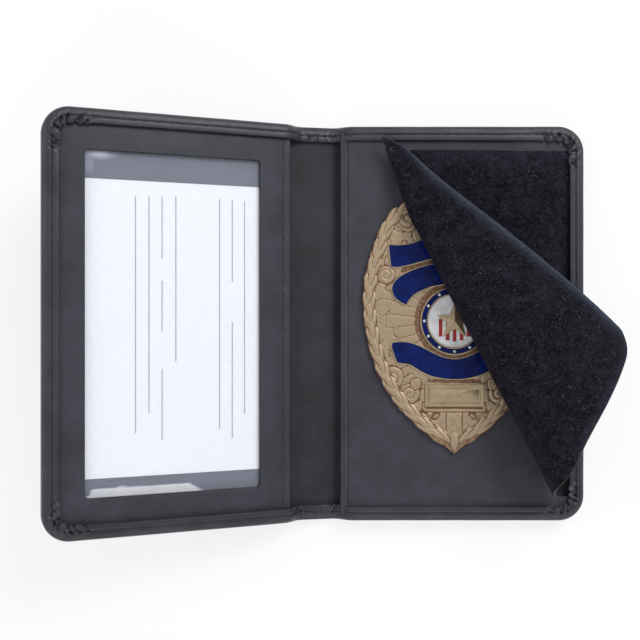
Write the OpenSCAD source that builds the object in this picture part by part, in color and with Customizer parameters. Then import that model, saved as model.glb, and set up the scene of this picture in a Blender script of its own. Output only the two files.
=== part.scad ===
// Book-style badge and identity card wallet, lying open with its front leaf
// lifted and the suede flap peeled back over its own seam.
// Units are millimetres. +Z is up, +Y runs along the fold, and the origin is
// the centre of the back leaf's underside.

/* [Leaves] */
// Width of each leaf, from its fold line to its outer edge
leaf_w = 67.3; // [64:0.1:74]
// Height of the wallet, along the fold
leaf_h = 108; // [106:0.5:116]
// Width of the spine strip between the two fold lines
spine_w = 12; // [11.5:0.1:15]
// Radius of the outer corners, seen from above
corner_r = 7; // [6:0.25:10]
// Angle of the lifted front leaf above the table
open_angle = 21.8; // [10:0.1:30]

/* [Leather] */
// Thickness of the outer leather
skin_t = 0.95; // [0.85:0.01:1.05]
// Thickness of the stiffening board in each leaf
board_t = 0.8; // [0.6:0.05:1]
// Thickness of the lining
lining_t = 0.5; // [0.4:0.02:0.6]
// Height of the pocket between lining and panel
pocket_t = 1.5; // [1.45:0.01:1.7]
// Thickness of the inside leather panels
panel_t = 1; // [0.8:0.05:1.2]
// Radius of the rounded outer edges
edge_r = 1.9; // [1.6:0.05:2.2]

/* [Hem] */
// Width of the outer leather's turned edge, seen from above
hem_w = 4.1; // [3.9:0.05:4.6]
// Distance from the outer edge to the stitch line
stitch_in = 2.4; // [2.2:0.05:2.8]
// Width of the groove that the stitches lie in
groove_w = 0.7; // [0.5:0.05:0.9]
// Depth of that groove
groove_d = 0.25; // [0.15:0.01:0.35]
// Number of pleats at each outer corner
pleats = 5; // [3:1:7]

/* [Window] */
// Width of the card window
win_w = 45; // [40:0.5:46]
// Width of the leather above and below the window
win_edge = 10.5; // [9.5:0.1:14]
// Distance from the fold line to the window
win_in = 11.3; // [11:0.1:12]
// Thickness of the clear sheet
sheet_t = 0.35; // [0.2:0.05:0.4]
// How far the clear sheet reaches under the leather round the window
sheet_lap = 4; // [3:0.5:5]
// Width of the identity card
card_w = 50.8; // [47:0.1:52]
// Height of the identity card
card_h = 75.5; // [70:0.5:88]
// Thickness of the identity card
card_t = 0.4; // [0.3:0.05:0.5]

/* [Badge] */
// Half the width of the badge
badge_a = 24.7; // [22:0.1:25]
// Height of the badge from its widest line to its rounded top
badge_top = 30.5; // [28:0.1:32]
// Depth of the badge from its widest line to its pointed foot
badge_foot = 40.8; // [38:0.1:41.5]
// Thickness of the badge plate
badge_t = 1.1; // [1:0.05:1.2]
// Height of the wreath above the badge plate
wreath_t = 0.5; // [0.3:0.05:0.6]
// Leaf pairs along each side of the wreath
wreath_n = 15; // [10:1:17]
// Height of the enamel ribbons above the badge plate
ribbon_t = 0.45; // [0.3:0.05:0.5]
// Radius of the round seal
seal_r = 9.4; // [8.5:0.1:9.6]
// Height of the seal's rim above the badge plate
seal_t = 0.7; // [0.5:0.05:0.8]

/* [Flap] */
// Flat width of the suede flap, with its seam margin
flap_w = 59.3; // [56:0.1:60]
// Distance from the leaf's top and bottom edges to the suede flap
flap_in = 6.8; // [6.6:0.1:8]
// Thickness of the suede flap
flap_t = 0.8; // [0.7:0.02:0.9]
// Radius of the flap's free lower corner
flap_corner_r = 6; // [4:0.5:8]
// Direction of the fold line, down from the row of the flap's top edge
fold_dir = 58.5; // [56:0.1:61]
// Angle that the flap is rolled over
roll_angle = 154; // [145:0.5:160]
// Radius of the roll at the pinched top corner
roll_r_top = 0.9; // [0.8:0.05:1.5]
// Radius of the roll at its low end
roll_r_low = 9.2; // [7:0.1:10]
// Radius of the gentle arch of the part that lies back
arch_r = 29.5; // [26:0.5:40]

/* [Hidden] */
$fn = 64;

// one overrun for every cut
cut = 1;
// gap at each side of a fold line
fold_gap = 0.1;
// running gap between layers that aren't glued
slip = 0.15;

// heights of the layers above a leaf's underside
z_board = skin_t + board_t;
z_lining = z_board + lining_t;
z_pocket = z_lining + pocket_t;
z_panel = z_pocket + panel_t;
leaf_t = z_panel + skin_t;
// the fold lines lie on top of the spine's lining
axis_z = skin_t + lining_t;
spine_t = axis_z + skin_t;
spine_angle = open_angle / 2;
// where the hem and the panels start, clear of the folded spine's hem
rim_in = spine_t - axis_z + 3 * fold_gap;
panel_in = rim_in + fold_gap / 2;
window_panel_in = panel_in + 1;
win_h = leaf_h - 2 * win_edge;
flap_h = leaf_h - 2 * flap_in;
// inset of everything that lies inside the turned edge
core_in = edge_r + fold_gap;
// the lining steps down beside the fold
step_in = 1.6;
step_w = 0.5;
// crease of the badge panel's folded edge
crease_in = 2.6;
crease_w = 0.45;
crease_d = 0.2;

// places of the leaves
module on_back() translate([-leaf_w / 2, 0, 0]) children();
module turned() translate([0, 0, axis_z]) rotate([0, spine_angle, 0])
    translate([0, 0, -axis_z]) children();
module on_spine() on_back() turned() children();
module on_front() on_spine() translate([-spine_w, 0, 0]) turned()
    mirror([1, 0, 0]) children();

// Leaves

// outline of a leaf from a start line near the fold, set in from the edge
module leaf_outline(inset, start) {
    far = leaf_w - corner_r;
    half = leaf_h / 2 - inset;
    translate([start, -half]) square([far - start, 2 * half]);
    translate([far - cut, corner_r - leaf_h / 2])
        square([corner_r - inset + cut, leaf_h - 2 * corner_r]);
    for (side = [-1, 1]) translate([far, side * (leaf_h / 2 - corner_r)])
        circle(corner_r - inset);
}

// a slab with its outer side rounded above and below, in section
module rounded_side(w, h, r) {
    square([w - r, h]);
    translate([0, r]) square([w, h - 2 * r]);
    for (z = [r, h - r]) translate([w - r, z]) circle(r);
}

// section of a leaf's turned edge, from its inner lip outwards
module rim_section() difference() {
    rounded_side(hem_w, leaf_t, edge_r);
    translate([-cut, skin_t])
        rounded_side(hem_w - skin_t + cut, leaf_t - 2 * skin_t, edge_r - skin_t);
    translate([hem_w - stitch_in - groove_w / 2, leaf_t - groove_d])
        square([groove_w, groove_d + cut]);
}

// small folds of gathered leather, fanned over a corner's lip
module corner_pleats() {
    fold_r = skin_t / 2;
    for (n = [1 : pleats]) rotate([0, 0, n * 90 / (pleats + 1)])
        translate([corner_r - hem_w + slip, 0, leaf_t - fold_r / 2])
        rotate([0, 90, 0]) cylinder(h = hem_w - edge_r - 2 * slip, r = fold_r);
}

module cover_leaf() {
    far = leaf_w - corner_r;
    linear_extrude(skin_t) leaf_outline(hem_w, rim_in);
    translate([fold_gap, edge_r - leaf_h / 2, 0])
        cube([rim_in - fold_gap, leaf_h - 2 * edge_r, skin_t]);
    for (side = [0, 1]) mirror([0, side, 0]) {
        translate([rim_in, leaf_h / 2 - hem_w, 0]) rotate([90, 0, 90])
            linear_extrude(far - rim_in) rim_section();
        translate([far, leaf_h / 2 - corner_r, 0]) {
            rotate_extrude(angle = 90) translate([corner_r - hem_w, 0]) rim_section();
            corner_pleats();
        }
    }
    translate([leaf_w - hem_w, leaf_h / 2 - corner_r, 0]) rotate([90, 0, 0])
        linear_extrude(leaf_h - 2 * corner_r) rim_section();
}

module board_leaf() translate([0, 0, skin_t]) linear_extrude(board_t)
    leaf_outline(core_in, step_in + step_w + fold_gap);

module lining_leaf() {
    half = leaf_h / 2 - core_in;
    translate([0, 0, z_board]) linear_extrude(lining_t) leaf_outline(core_in, step_in);
    translate([step_in, -half, skin_t]) cube([step_w, 2 * half, board_t]);
    translate([fold_gap, -half, skin_t]) cube([step_in - fold_gap, 2 * half, lining_t]);
}

module cover_back() color("#2f2e33") on_back() cover_leaf();
module cover_front() color("#2f2e33") on_front() cover_leaf();
module board_back() color("#8a7a66") on_back() board_leaf();
module board_front() color("#8a7a66") on_front() board_leaf();
module lining_back() color("#3a393f") on_back() lining_leaf();
module lining_front() color("#3a393f") on_front() lining_leaf();

// Spine

// section of the spine's turned edge, from its inner lip outwards
module spine_rim_section() difference() {
    end_r = spine_t / 2;
    union() {
        square([hem_w - end_r, spine_t]);
        translate([hem_w - end_r, end_r]) circle(end_r);
    }
    translate([-cut, skin_t]) square([hem_w - end_r + cut, lining_t]);
}

module cover_spine() color("#2f2e33") on_spine() {
    run = spine_w - 2 * fold_gap;
    inner = leaf_h / 2 - hem_w;
    translate([-fold_gap - run, -inner, 0]) cube([run, 2 * inner, skin_t]);
    for (side = [0, 1]) mirror([0, side, 0])
        translate([-fold_gap - run, inner, 0]) rotate([90, 0, 90])
        linear_extrude(run) spine_rim_section();
}

module lining_spine() color("#3a393f") on_spine() {
    run = spine_w - 2 * fold_gap;
    half = leaf_h / 2 - spine_t / 2 - fold_gap;
    translate([-fold_gap - run, -half, skin_t]) cube([run, 2 * half, lining_t]);
}

// Card side

module window_panel() color("#35343a") on_front() difference() {
    translate([0, 0, z_pocket]) linear_extrude(panel_t)
        leaf_outline(core_in, window_panel_in);
    translate([win_in, -win_h / 2, z_pocket - cut])
        cube([win_w, win_h, panel_t + 2 * cut]);
}

module window_sheet() color("#8fa0b4", 0.4) on_front()
    translate([win_in - sheet_lap, -win_h / 2 - sheet_lap, z_pocket - sheet_t])
    cube([win_w + 2 * sheet_lap, win_h + 2 * sheet_lap, sheet_t]);

// the card sits a little low in its pocket
card_low = 1.2;
card_r = 1;
module id_card() color("#eef2fa") on_front()
    translate([win_in + win_w / 2, -card_low, z_pocket - sheet_t - slip - card_t])
    linear_extrude(card_t) {
        square([card_w - 2 * card_r, card_h], center = true);
        square([card_w, card_h - 2 * card_r], center = true);
        for (i = [-1, 1], j = [-1, 1])
            translate([i * (card_w / 2 - card_r), j * (card_h / 2 - card_r)]) circle(card_r);
    }

// Badge side

// place of the badge: its widest line lies this far above the leaf's middle
badge_x = -2;
badge_y = 5.7;
seal_y = 0.7;
// the flap's seam margin lies level with the panel, in a notch of its edge
seam_in = 8.7;
flap_x1 = leaf_w / 2 - core_in - fold_gap;
flap_x0 = flap_x1 - flap_w;
notch_gap = 0.4;
// places of the pin's two blocks, from the badge's widest line
pin_joint_y = 15;
pin_catch_y = -22;
pin_block_w = 5;
pin_block_l = 4.4;

module badge_panel() color("#35343a") difference() {
    on_back() translate([0, 0, z_pocket]) linear_extrude(panel_t)
        leaf_outline(core_in, panel_in);
    translate([leaf_w / 2 - seam_in, -flap_h / 2 - notch_gap, z_pocket - cut])
        cube([seam_in, flap_h + 2 * notch_gap, panel_t + 2 * cut]);
    on_back() translate([panel_in + crease_in, -leaf_h / 2, z_panel - crease_d])
        cube([crease_w, leaf_h, crease_d + cut]);
    for (y = [pin_joint_y, pin_catch_y])
        translate([badge_x, badge_y + y, z_pocket + panel_t / 2])
        cube([pin_block_w + 2 * slip, pin_block_l + 2 * slip, panel_t + cut], center = true);
}

// outline of the badge about its widest line: half an ellipse above, and
// a side below that draws in to the pointed foot
foot_power = 1.6;
function badge_edge(t, grow = 0) = t >= 0
    ? [(badge_a + grow) * cos(t), (badge_top + grow) * sin(t)]
    : [(badge_a + grow) * pow(cos(t), foot_power), (badge_foot + grow) * sin(t)];
module badge_outline(grow = 0) {
    right = [for (t = [-90 : 5 : 90]) badge_edge(t, grow)];
    left = [for (t = [85 : -5 : -85]) [-badge_edge(t, grow)[0], badge_edge(t, grow)[1]]];
    polygon(concat(right, left));
}
module on_badge(z) translate([badge_x, badge_y, z_panel + z]) children();

// the struck plate, with its field sunk inside a raised border
wreath_w = 4.4;
field_d = 0.25;
module badge_shield() color("#bfa57d") on_badge(0) difference() {
    linear_extrude(badge_t) badge_outline();
    translate([0, 0, badge_t - field_d]) linear_extrude(cut) badge_outline(-wreath_w);
}

// a laurel leaf, pointed at both ends, as the overlap of two rounds
leaf_l = 5.2;
leaf_b = 1.7;
module laurel_leaf() {
    arc_r = (pow(leaf_l / 2, 2) + pow(leaf_b / 2, 2)) / leaf_b;
    intersection_for (side = [-1, 1]) translate([0, side * (arc_r - leaf_b / 2)])
        circle(arc_r, $fn = 48);
}

// leaf pairs climb each side from the foot to the top
module badge_wreath() color("#c8ae86") on_badge(badge_t) linear_extrude(wreath_t)
    for (n = [0 : wreath_n - 1], side = [0, 1], row = [0, 1]) mirror([side, 0]) {
        t = -74 + n * 152 / (wreath_n - 1) + row * 3;
        p = badge_edge(t, -0.9 - row * 1.9);
        q = badge_edge(t + 1, -0.9 - row * 1.9);
        translate(p) rotate(atan2(q[1] - p[1], q[0] - p[0]) + (row == 0 ? -14 : 16))
            laurel_leaf();
    }

// a ribbon whose middle is lifted or dropped from its ends by rise
ribbon_b = 5.8;
high_ribbon_half = 17.8;
high_ribbon_y = 21.7;
high_ribbon_rise = 3.9;
low_ribbon_half = 16.4;
low_ribbon_y = -13.1;
low_ribbon_rise = -4.5;
module ribbon(half, mid, rise) {
    xs = [for (n = [-12 : 12]) n / 12 * half];
    function line(x) = mid - rise + rise * pow(cos(90 * x / half), 2);
    polygon(concat([for (x = xs) [x, line(x) + ribbon_b / 2]],
        [for (n = [24 : -1 : 0]) [xs[n], line(xs[n]) - ribbon_b / 2]]));
}

// the middle ribbon is a band that hugs the seal and ends in a swallow's tail
tail_share = [[0, 10.4], [-5, 10.1], [-10.4, 7.6], [-12.9, 4.3], [-16.4, 6.8], [-16.8, 9.4],
    [-15.2, 11.7], [-11.8, 13.6], [-5.3, 15.3], [0, 15.6]] / 24.7;
module middle_ribbon() for (side = [0, 1]) mirror([side, 0])
    polygon(badge_a * tail_share);

module badge_ribbons() color("#1c2a6b") on_badge(badge_t - field_d)
    linear_extrude(field_d + ribbon_t) intersection() {
        badge_outline(-wreath_w - fold_gap);
        translate([0, seal_y - badge_y]) {
            ribbon(high_ribbon_half, high_ribbon_y, high_ribbon_rise);
            ribbon(low_ribbon_half, low_ribbon_y, low_ribbon_rise);
            middle_ribbon();
        }
    }

seal_rim_w = 0.5;
seal_band_w = 1.9;
module on_seal(z) translate([badge_x, seal_y, z_panel + z]) children();
module seal_rim() color("#c8ae86") on_seal(badge_t - field_d)
    for (r = [seal_r, seal_r - seal_band_w]) difference() {
        cylinder(h = field_d + seal_t, r = r);
        translate([0, 0, -cut]) cylinder(h = field_d + seal_t + 2 * cut, r = r - seal_rim_w);
    }

module seal_disc() color("#f2f2ee") on_seal(badge_t - field_d) {
    cylinder(h = field_d + ribbon_t, r = seal_r - seal_band_w - seal_rim_w);
    difference() {
        cylinder(h = field_d + ribbon_t, r = seal_r - seal_rim_w);
        translate([0, 0, -cut])
            cylinder(h = field_d + ribbon_t + 2 * cut, r = seal_r - seal_band_w);
    }
}

star_r = 5.6;
star_t = seal_t / 2;
star_waist_share = 0.42;
module seal_star() color("#d4bb86") on_seal(badge_t + ribbon_t) linear_extrude(star_t)
    polygon([for (n = [0 : 9])
        star_r * (n % 2 == 0 ? 1 : star_waist_share) * [sin(36 * n), cos(36 * n)]]);

plate_w = 16;
plate_h = 7.3;
plate_y = -21;
plate_t = 0.8;
column_w = 4.4;
column_h = 5.8;
module number_plate() color("#cbb48c") on_seal(badge_t - field_d) {
    translate([-plate_w / 2, plate_y - plate_h / 2, 0]) difference() {
        cube([plate_w, plate_h, plate_t]);
        translate([field_d * 3, field_d * 3, plate_t - field_d])
            cube([plate_w - 6 * field_d, plate_h - 6 * field_d, cut]);
    }
    translate([-column_w / 2, plate_y - plate_h / 2 - column_h, 0])
        cube([column_w, column_h, plate_t - field_d / 2]);
}

// Pin on the badge's back, reaching through the panel into the pocket

pin_r = 0.45;
pin_z = z_lining + pocket_t / 2 + slip;
module on_pin(y) translate([badge_x, badge_y + y, 0]) children();

// a block with a slot for the pin, from the badge's back to just above the lining
module pin_block(slot_w) difference() {
    translate([-pin_block_w / 2, -pin_block_l / 2, z_lining + 2 * slip])
        cube([pin_block_w, pin_block_l, z_panel - z_lining - 2 * slip]);
    translate([-slot_w / 2, -pin_block_l / 2 - cut, z_lining])
        cube([slot_w, pin_block_l + 2 * cut, pin_z + pin_r + 2 * slip - z_lining]);
}

rivet_r = 0.25;
module pin_joint() color("#a8a8a4") on_pin(pin_joint_y) {
    pin_block(2 * pin_r + 4 * slip);
    translate([-pin_block_w / 2, 0, pin_z]) rotate([0, 90, 0])
        cylinder(h = pin_block_w, r = rivet_r, $fn = 32);
}

module pin_stem() color("#c4c4c2") on_pin(0) {
    difference() {
        translate([-pin_r, pin_joint_y, pin_z]) rotate([0, 90, 0])
            cylinder(h = 2 * pin_r, r = pin_r + slip, $fn = 32);
        translate([-pin_r - cut, pin_joint_y, pin_z]) rotate([0, 90, 0])
            cylinder(h = 2 * (pin_r + cut), r = rivet_r + slip / 2, $fn = 32);
    }
    translate([0, pin_joint_y - rivet_r - slip, pin_z]) rotate([90, 0, 0])
        cylinder(h = pin_joint_y - pin_catch_y, r = pin_r, $fn = 32);
}

module pin_catch() color("#a8a8a4") on_pin(pin_catch_y) pin_block(2 * pin_r + 2 * slip);

// Suede flap

// its flat sheet runs from the seam margin under the hem to a rounded free
// corner, and is worked out in lines along (u) and across (v) the fold
pinch_in = 7.2;
pinch_down = 4;
roll_len = 100;
fold_x = flap_x0 + pinch_in;
fold_y = flap_h / 2 - pinch_down;
along = [cos(fold_dir), -sin(fold_dir)];
across = [-sin(fold_dir), -cos(fold_dir)];
corner_uv = [for (a = [along, across])
    a * [flap_x0 + flap_corner_r - fold_x, flap_corner_r - flap_h / 2 - fold_y]];
function roll_r(u) = roll_r_top + (roll_r_low - roll_r_top) * u / roll_len;

// the suede rests on the leaf, rides over the badge and dips to its seam
seat_z = z_panel + flap_t / 2 + slip;
margin_z = z_panel - flap_t / 2 - slip;
lip_x = leaf_w / 2 - hem_w - 3 * slip;
dip_x = lip_x - 3.6;
sag_in = 6;
sag_run = 14;
ride_z = z_panel + badge_t + ribbon_t + star_t + flap_t / 2 + slip;
function smooth(t) = let(s = min(1, max(0, t))) s * s * (3 - 2 * s);
function ride(x, y, v) = let(
    e = norm([(x - badge_x) / badge_a, (y - badge_y) / badge_foot]),
    sag = smooth((-v - sag_in) / sag_run) * smooth((e - 1) / 0.4),
    dip = v > 0 ? 0 : smooth((x - dip_x) / (lip_x - dip_x)),
    top = ride_z - (ride_z - seat_z) * sag)
    top - (top - margin_z) * dip;

// where a point of the flat sheet comes to lie, with the sheet's normal
function bent(u, v) = let(
    r = roll_r(u),
    a = v / r * 180 / PI,
    w = v - roll_angle * r * PI / 180,
    turn = v <= 0 ? 0 : w <= 0 ? a : roll_angle + w / arch_r * 180 / PI,
    g = v <= 0 ? v : w <= 0 ? r * sin(a)
        : r * sin(roll_angle) + arch_r * (sin(turn) - sin(roll_angle)),
    h = v <= 0 ? 0 : w <= 0 ? r * (1 - cos(a))
        : r * (1 - cos(roll_angle)) + arch_r * (cos(roll_angle) - cos(turn)),
    p = [fold_x, fold_y] + u * along + g * across)
    [[p[0], p[1], h + ride(p[0], p[1], v)],
     [-sin(turn) * across[0], -sin(turn) * across[1], cos(turn)]];

// a line across the sheet is v = p + q u; its ends lie on the sheet's outline
function round_u(p, q, side) = let(
    f = 1 + q * q,
    e = q * (corner_uv[1] - p) + corner_uv[0],
    g = pow(corner_uv[0], 2) + pow(p - corner_uv[1], 2) - pow(flap_corner_r, 2))
    (e + side * sqrt(max(0, e * e - f * g))) / f;
function at_x(x, p, q) = (x - fold_x - p * across[0]) / (along[0] + q * across[0]);
function at_y(y, p, q) = (y - fold_y - p * across[1]) / (along[1] + q * across[1]);
function sheet_y(u, p, q) = fold_y + u * along[1] + (p + q * u) * across[1];
function sheet_x(u, p, q) = fold_x + u * along[0] + (p + q * u) * across[0];
seam_out = 4;
function line_ends(p, q) = let(
    left = at_x(flap_x0, p, q),
    low = at_y(-flap_h / 2, p, q),
    u0 = max(sheet_y(left, p, q) < flap_corner_r - flap_h / 2
        ? round_u(p, q, -1) : left, at_y(flap_h / 2, p, q)),
    // the seam's margin ends just above the roll
    right = p < -seam_out ? flap_x1 : dip_x - (lip_x - dip_x) * p / seam_out,
    u1 = min(sheet_x(low, p, q) < flap_x0 + flap_corner_r
        ? round_u(p, q, 1) : low, at_x(q == 0 ? right : dip_x, p, q)))
    [u0, u1];

// lines [p, q]: on the flat part, round the roll, and on the part lying back
function flat_line(v) = [v, 0];
function roll_line(a) = [a * roll_r_top, a * (roll_r_low - roll_r_top) / roll_len] * PI / 180;
function back_line(w) = roll_line(roll_angle) + [w, 0];

// a closed sheet over a list of lines, with the same number of steps in each
flap_steps = 13;
module sheet(lines) {
    rows = len(lines);
    cols = flap_steps + 1;
    points = [for (side = [1, -1], line = lines) let(ends = line_ends(line[0], line[1]))
        for (n = [0 : flap_steps]) let(
            u = ends[0] + (ends[1] - ends[0]) * sin(90 * n / flap_steps),
            b = bent(u, line[0] + line[1] * u))
            b[0] + side * flap_t / 2 * b[1]];
    function at(side, i, j) = side * rows * cols + i * cols + j;
    quads = concat(
        [for (i = [0 : rows - 2], j = [0 : cols - 2])
            [at(0, i, j), at(0, i, j + 1), at(0, i + 1, j + 1), at(0, i + 1, j)]],
        [for (i = [0 : rows - 2], j = [0 : cols - 2])
            [at(1, i, j), at(1, i + 1, j), at(1, i + 1, j + 1), at(1, i, j + 1)]],
        [for (i = [0 : rows - 2])
            [at(0, i, 0), at(0, i + 1, 0), at(1, i + 1, 0), at(1, i, 0)]],
        [for (i = [0 : rows - 2])
            [at(0, i, cols - 1), at(1, i, cols - 1), at(1, i + 1, cols - 1), at(0, i + 1, cols - 1)]],
        [for (j = [0 : cols - 2])
            [at(0, 0, j), at(1, 0, j), at(1, 0, j + 1), at(0, 0, j + 1)]],
        [for (j = [0 : cols - 2])
            [at(0, rows - 1, j), at(0, rows - 1, j + 1), at(1, rows - 1, j + 1), at(1, rows - 1, j)]]);
    polyhedron(points, [for (q = quads) each [[q[0], q[2], q[1]], [q[0], q[3], q[2]]]]);
}

// the flap is split where it hinges: at three lines round the roll, and
// part of the way along the part that lies back
hinge_gap = 0.3;
half_gap = [hinge_gap / 2, 0];
fall_len = 14;
split = [1, 3, 5] * roll_angle / 6;
flat_v0 = across * [flap_x1 - fold_x, flap_h / 2 - fold_y];
roll_end = roll_line(roll_angle);
back_len = corner_uv[1] - roll_end[1] * corner_uv[0] + flap_corner_r * norm([1, roll_end[1]])
    - roll_end[0];
// how much of the free corner's last sliver is kept, so that the sheet closes
tip_share = 0.995;

module flap_base() color("#26242c") sheet(concat(
    [for (n = [0 : 11]) flat_line(flat_v0 * tip_share * (1 - n / 11) - (seam_out + hinge_gap) * n / 11)],
    [flat_line(-seam_out)],
    [for (n = [0 : 3]) roll_line(split[0] * n / 3) - (n == 3 ? half_gap : 0 * half_gap)]));
module flap_turn() color("#26242c") sheet([for (n = [0 : 5])
    roll_line(split[0] + (split[1] - split[0]) * n / 5)
    + (n == 0 ? half_gap : n == 5 ? -half_gap : 0 * half_gap)]);
module flap_roll() color("#26242c") sheet([for (n = [0 : 5])
    roll_line(split[1] + (split[2] - split[1]) * n / 5)
    + (n == 0 ? half_gap : n == 5 ? -half_gap : 0 * half_gap)]);
module flap_fall() color("#26242c") sheet(concat([for (n = [0 : 2])
    roll_line(split[2] + (roll_angle - split[2]) * n / 3) + (n == 0 ? half_gap : 0 * half_gap)],
    [for (n = [0 : 4]) back_line((fall_len - hinge_gap / 2) * n / 4)]));
module flap_tip() color("#26242c") sheet([for (n = [0 : 9])
    back_line(fall_len + hinge_gap / 2 + (back_len - fall_len) * tip_share * sin(10 * n))]);

cover_back();
board_back();
lining_back();
badge_panel();
badge_shield();
badge_wreath();
badge_ribbons();
seal_rim();
seal_disc();
seal_star();
number_plate();
pin_joint();
pin_stem();
pin_catch();
flap_base();
cover_spine();
lining_spine();
cover_front();
board_front();
lining_front();
window_sheet();
window_panel();
id_card();
flap_turn();
flap_roll();
flap_fall();
flap_tip();
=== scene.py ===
# %% [markdown]
# # A wallet for a badge and an identity card
# The wallet lies open like a book. Its outer leather is one piece, turned in
# and stitched all round. One leaf holds a card behind a clear window. The
# other carries a badge, covered by a suede flap that is peeled back here.
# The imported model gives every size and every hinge. This lesson dresses it.

# %% Load the fixed frame
import math
import bpy
import bmesh
import numpy as np
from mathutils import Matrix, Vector, noise


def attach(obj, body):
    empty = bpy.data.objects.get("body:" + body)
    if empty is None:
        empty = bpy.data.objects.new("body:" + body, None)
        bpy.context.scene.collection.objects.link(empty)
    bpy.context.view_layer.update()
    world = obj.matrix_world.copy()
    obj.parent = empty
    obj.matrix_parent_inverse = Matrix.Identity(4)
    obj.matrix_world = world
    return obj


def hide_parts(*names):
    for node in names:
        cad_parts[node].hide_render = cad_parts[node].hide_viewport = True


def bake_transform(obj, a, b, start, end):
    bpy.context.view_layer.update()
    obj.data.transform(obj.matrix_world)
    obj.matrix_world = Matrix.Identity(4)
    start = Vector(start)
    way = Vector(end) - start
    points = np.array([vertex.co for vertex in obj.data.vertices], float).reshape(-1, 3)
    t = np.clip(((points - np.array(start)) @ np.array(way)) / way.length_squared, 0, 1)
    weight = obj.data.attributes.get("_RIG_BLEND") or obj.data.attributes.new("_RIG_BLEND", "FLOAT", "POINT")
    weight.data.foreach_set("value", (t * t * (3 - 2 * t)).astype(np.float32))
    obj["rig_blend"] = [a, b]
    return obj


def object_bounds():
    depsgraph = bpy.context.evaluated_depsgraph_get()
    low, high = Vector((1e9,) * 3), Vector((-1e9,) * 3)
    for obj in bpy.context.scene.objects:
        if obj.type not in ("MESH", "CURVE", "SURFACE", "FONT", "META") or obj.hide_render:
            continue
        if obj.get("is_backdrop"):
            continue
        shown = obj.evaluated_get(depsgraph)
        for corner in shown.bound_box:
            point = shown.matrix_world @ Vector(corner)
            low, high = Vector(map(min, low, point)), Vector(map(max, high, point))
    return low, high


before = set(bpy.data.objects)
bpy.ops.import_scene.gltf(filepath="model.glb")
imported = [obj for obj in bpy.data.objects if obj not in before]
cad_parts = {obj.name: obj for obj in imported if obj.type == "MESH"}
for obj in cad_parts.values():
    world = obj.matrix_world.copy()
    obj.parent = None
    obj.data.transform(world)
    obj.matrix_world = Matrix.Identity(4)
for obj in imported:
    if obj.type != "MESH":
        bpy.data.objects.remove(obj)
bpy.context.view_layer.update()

# %% [markdown]
# Leather goods are drawn flat before they are folded, and this wallet is
# modelled in the same way. Millimetres are used while a piece is flat. The
# letter p is the distance across the flat case from the right fold line: the
# badge leaf has p above 0, the spine strip runs from 0 to -12, and the card
# leaf lies beyond -12. Each finished point is then folded to its place.

# %% Fold flat points to their place
LEAF_W, HALF_H, SPINE_W, CORNER_R = 67.3, 54.0, 12.0, 7.0
FOLD_X, FOLD_Z, FOLD_TURN, FOLD_RUN = -33.65, 1.45, math.radians(10.9), 2.0
MID_SPINE = -SPINE_W / 2


def smooth(t):
    t = np.clip(t, 0, 1)
    return t * t * (3 - 2 * t)


def turn_left(x, z, angle):
    return x * np.cos(angle) + z * np.sin(angle), z * np.cos(angle) - x * np.sin(angle)


def folded(points):
    """Flat (p, y, z) in mm to the wallet's frame in metres."""
    p, y, z = np.array(points, float).reshape(-1, 3).T
    x, h = turn_left(p + SPINE_W, z - FOLD_Z, FOLD_TURN * smooth((FOLD_RUN - SPINE_W - p) / (2 * FOLD_RUN)))
    x, h = turn_left(x - SPINE_W, h, FOLD_TURN * smooth((FOLD_RUN - p) / (2 * FOLD_RUN)))
    return np.stack([FOLD_X + x, y, FOLD_Z + h], axis=1) / 1000


def upright(points):
    """Points already in the wallet's frame, in mm, to metres."""
    return np.array(points, float).reshape(-1, 3) / 1000


def front(s, y, z):
    """A point of the card leaf: s is its distance from the left fold line."""
    return (-SPINE_W - s, y, z)


fold_points = {side: folded([(at + FOLD_RUN, 0, FOLD_Z), (at - FOLD_RUN, 0, FOLD_Z)])
               for side, at in (("right", 0), ("left", -SPINE_W))}
print("card leaf's outer edge stands at, mm:", np.round(1000 * folded([front(LEAF_W, 0, 0)])[0], 1))

# %% [markdown]
# An operator acts on all that is selected, so the selection is cleared before
# each step. What a step needs is then picked by where it lies.

# %% Clear, take and pick
def clear():
    if bpy.context.mode != "OBJECT":
        bpy.ops.object.mode_set(mode="OBJECT")
    bpy.ops.object.select_all(action="DESELECT")


def take(obj, edit=True):
    clear()
    obj.select_set(True)
    bpy.context.view_layer.objects.active = obj
    if edit:
        bpy.ops.object.mode_set(mode="EDIT")


def pick(test, kind="FACE"):
    """Selects what passes the test on its middle point, and counts it."""
    bpy.ops.mesh.select_mode(type=kind)
    bpy.ops.mesh.select_all(action="DESELECT")
    me = bpy.context.object.data
    bm = bmesh.from_edit_mesh(me)
    found = 0
    for item in {"FACE": bm.faces, "EDGE": bm.edges, "VERT": bm.verts}[kind]:
        spots = [item.co] if kind == "VERT" else [v.co for v in item.verts]
        c = sum(spots, spots[0] * 0) / len(spots)
        if test(c, item):
            item.select_set(True)
            found += 1
    bm.select_flush_mode()
    bmesh.update_edit_mesh(me)
    return found


# %% Name and scale what was just made, and turn its faces outwards
def named(name):
    obj = bpy.context.object
    obj.name = obj.data.name = name
    return obj


def scaled(obj, size):
    obj.scale = size
    bpy.ops.object.transform_apply(location=True, rotation=True, scale=True)
    return obj


def face_out():
    bpy.ops.mesh.select_all(action="SELECT")
    bpy.ops.mesh.normals_make_consistent(inside=False)


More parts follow.
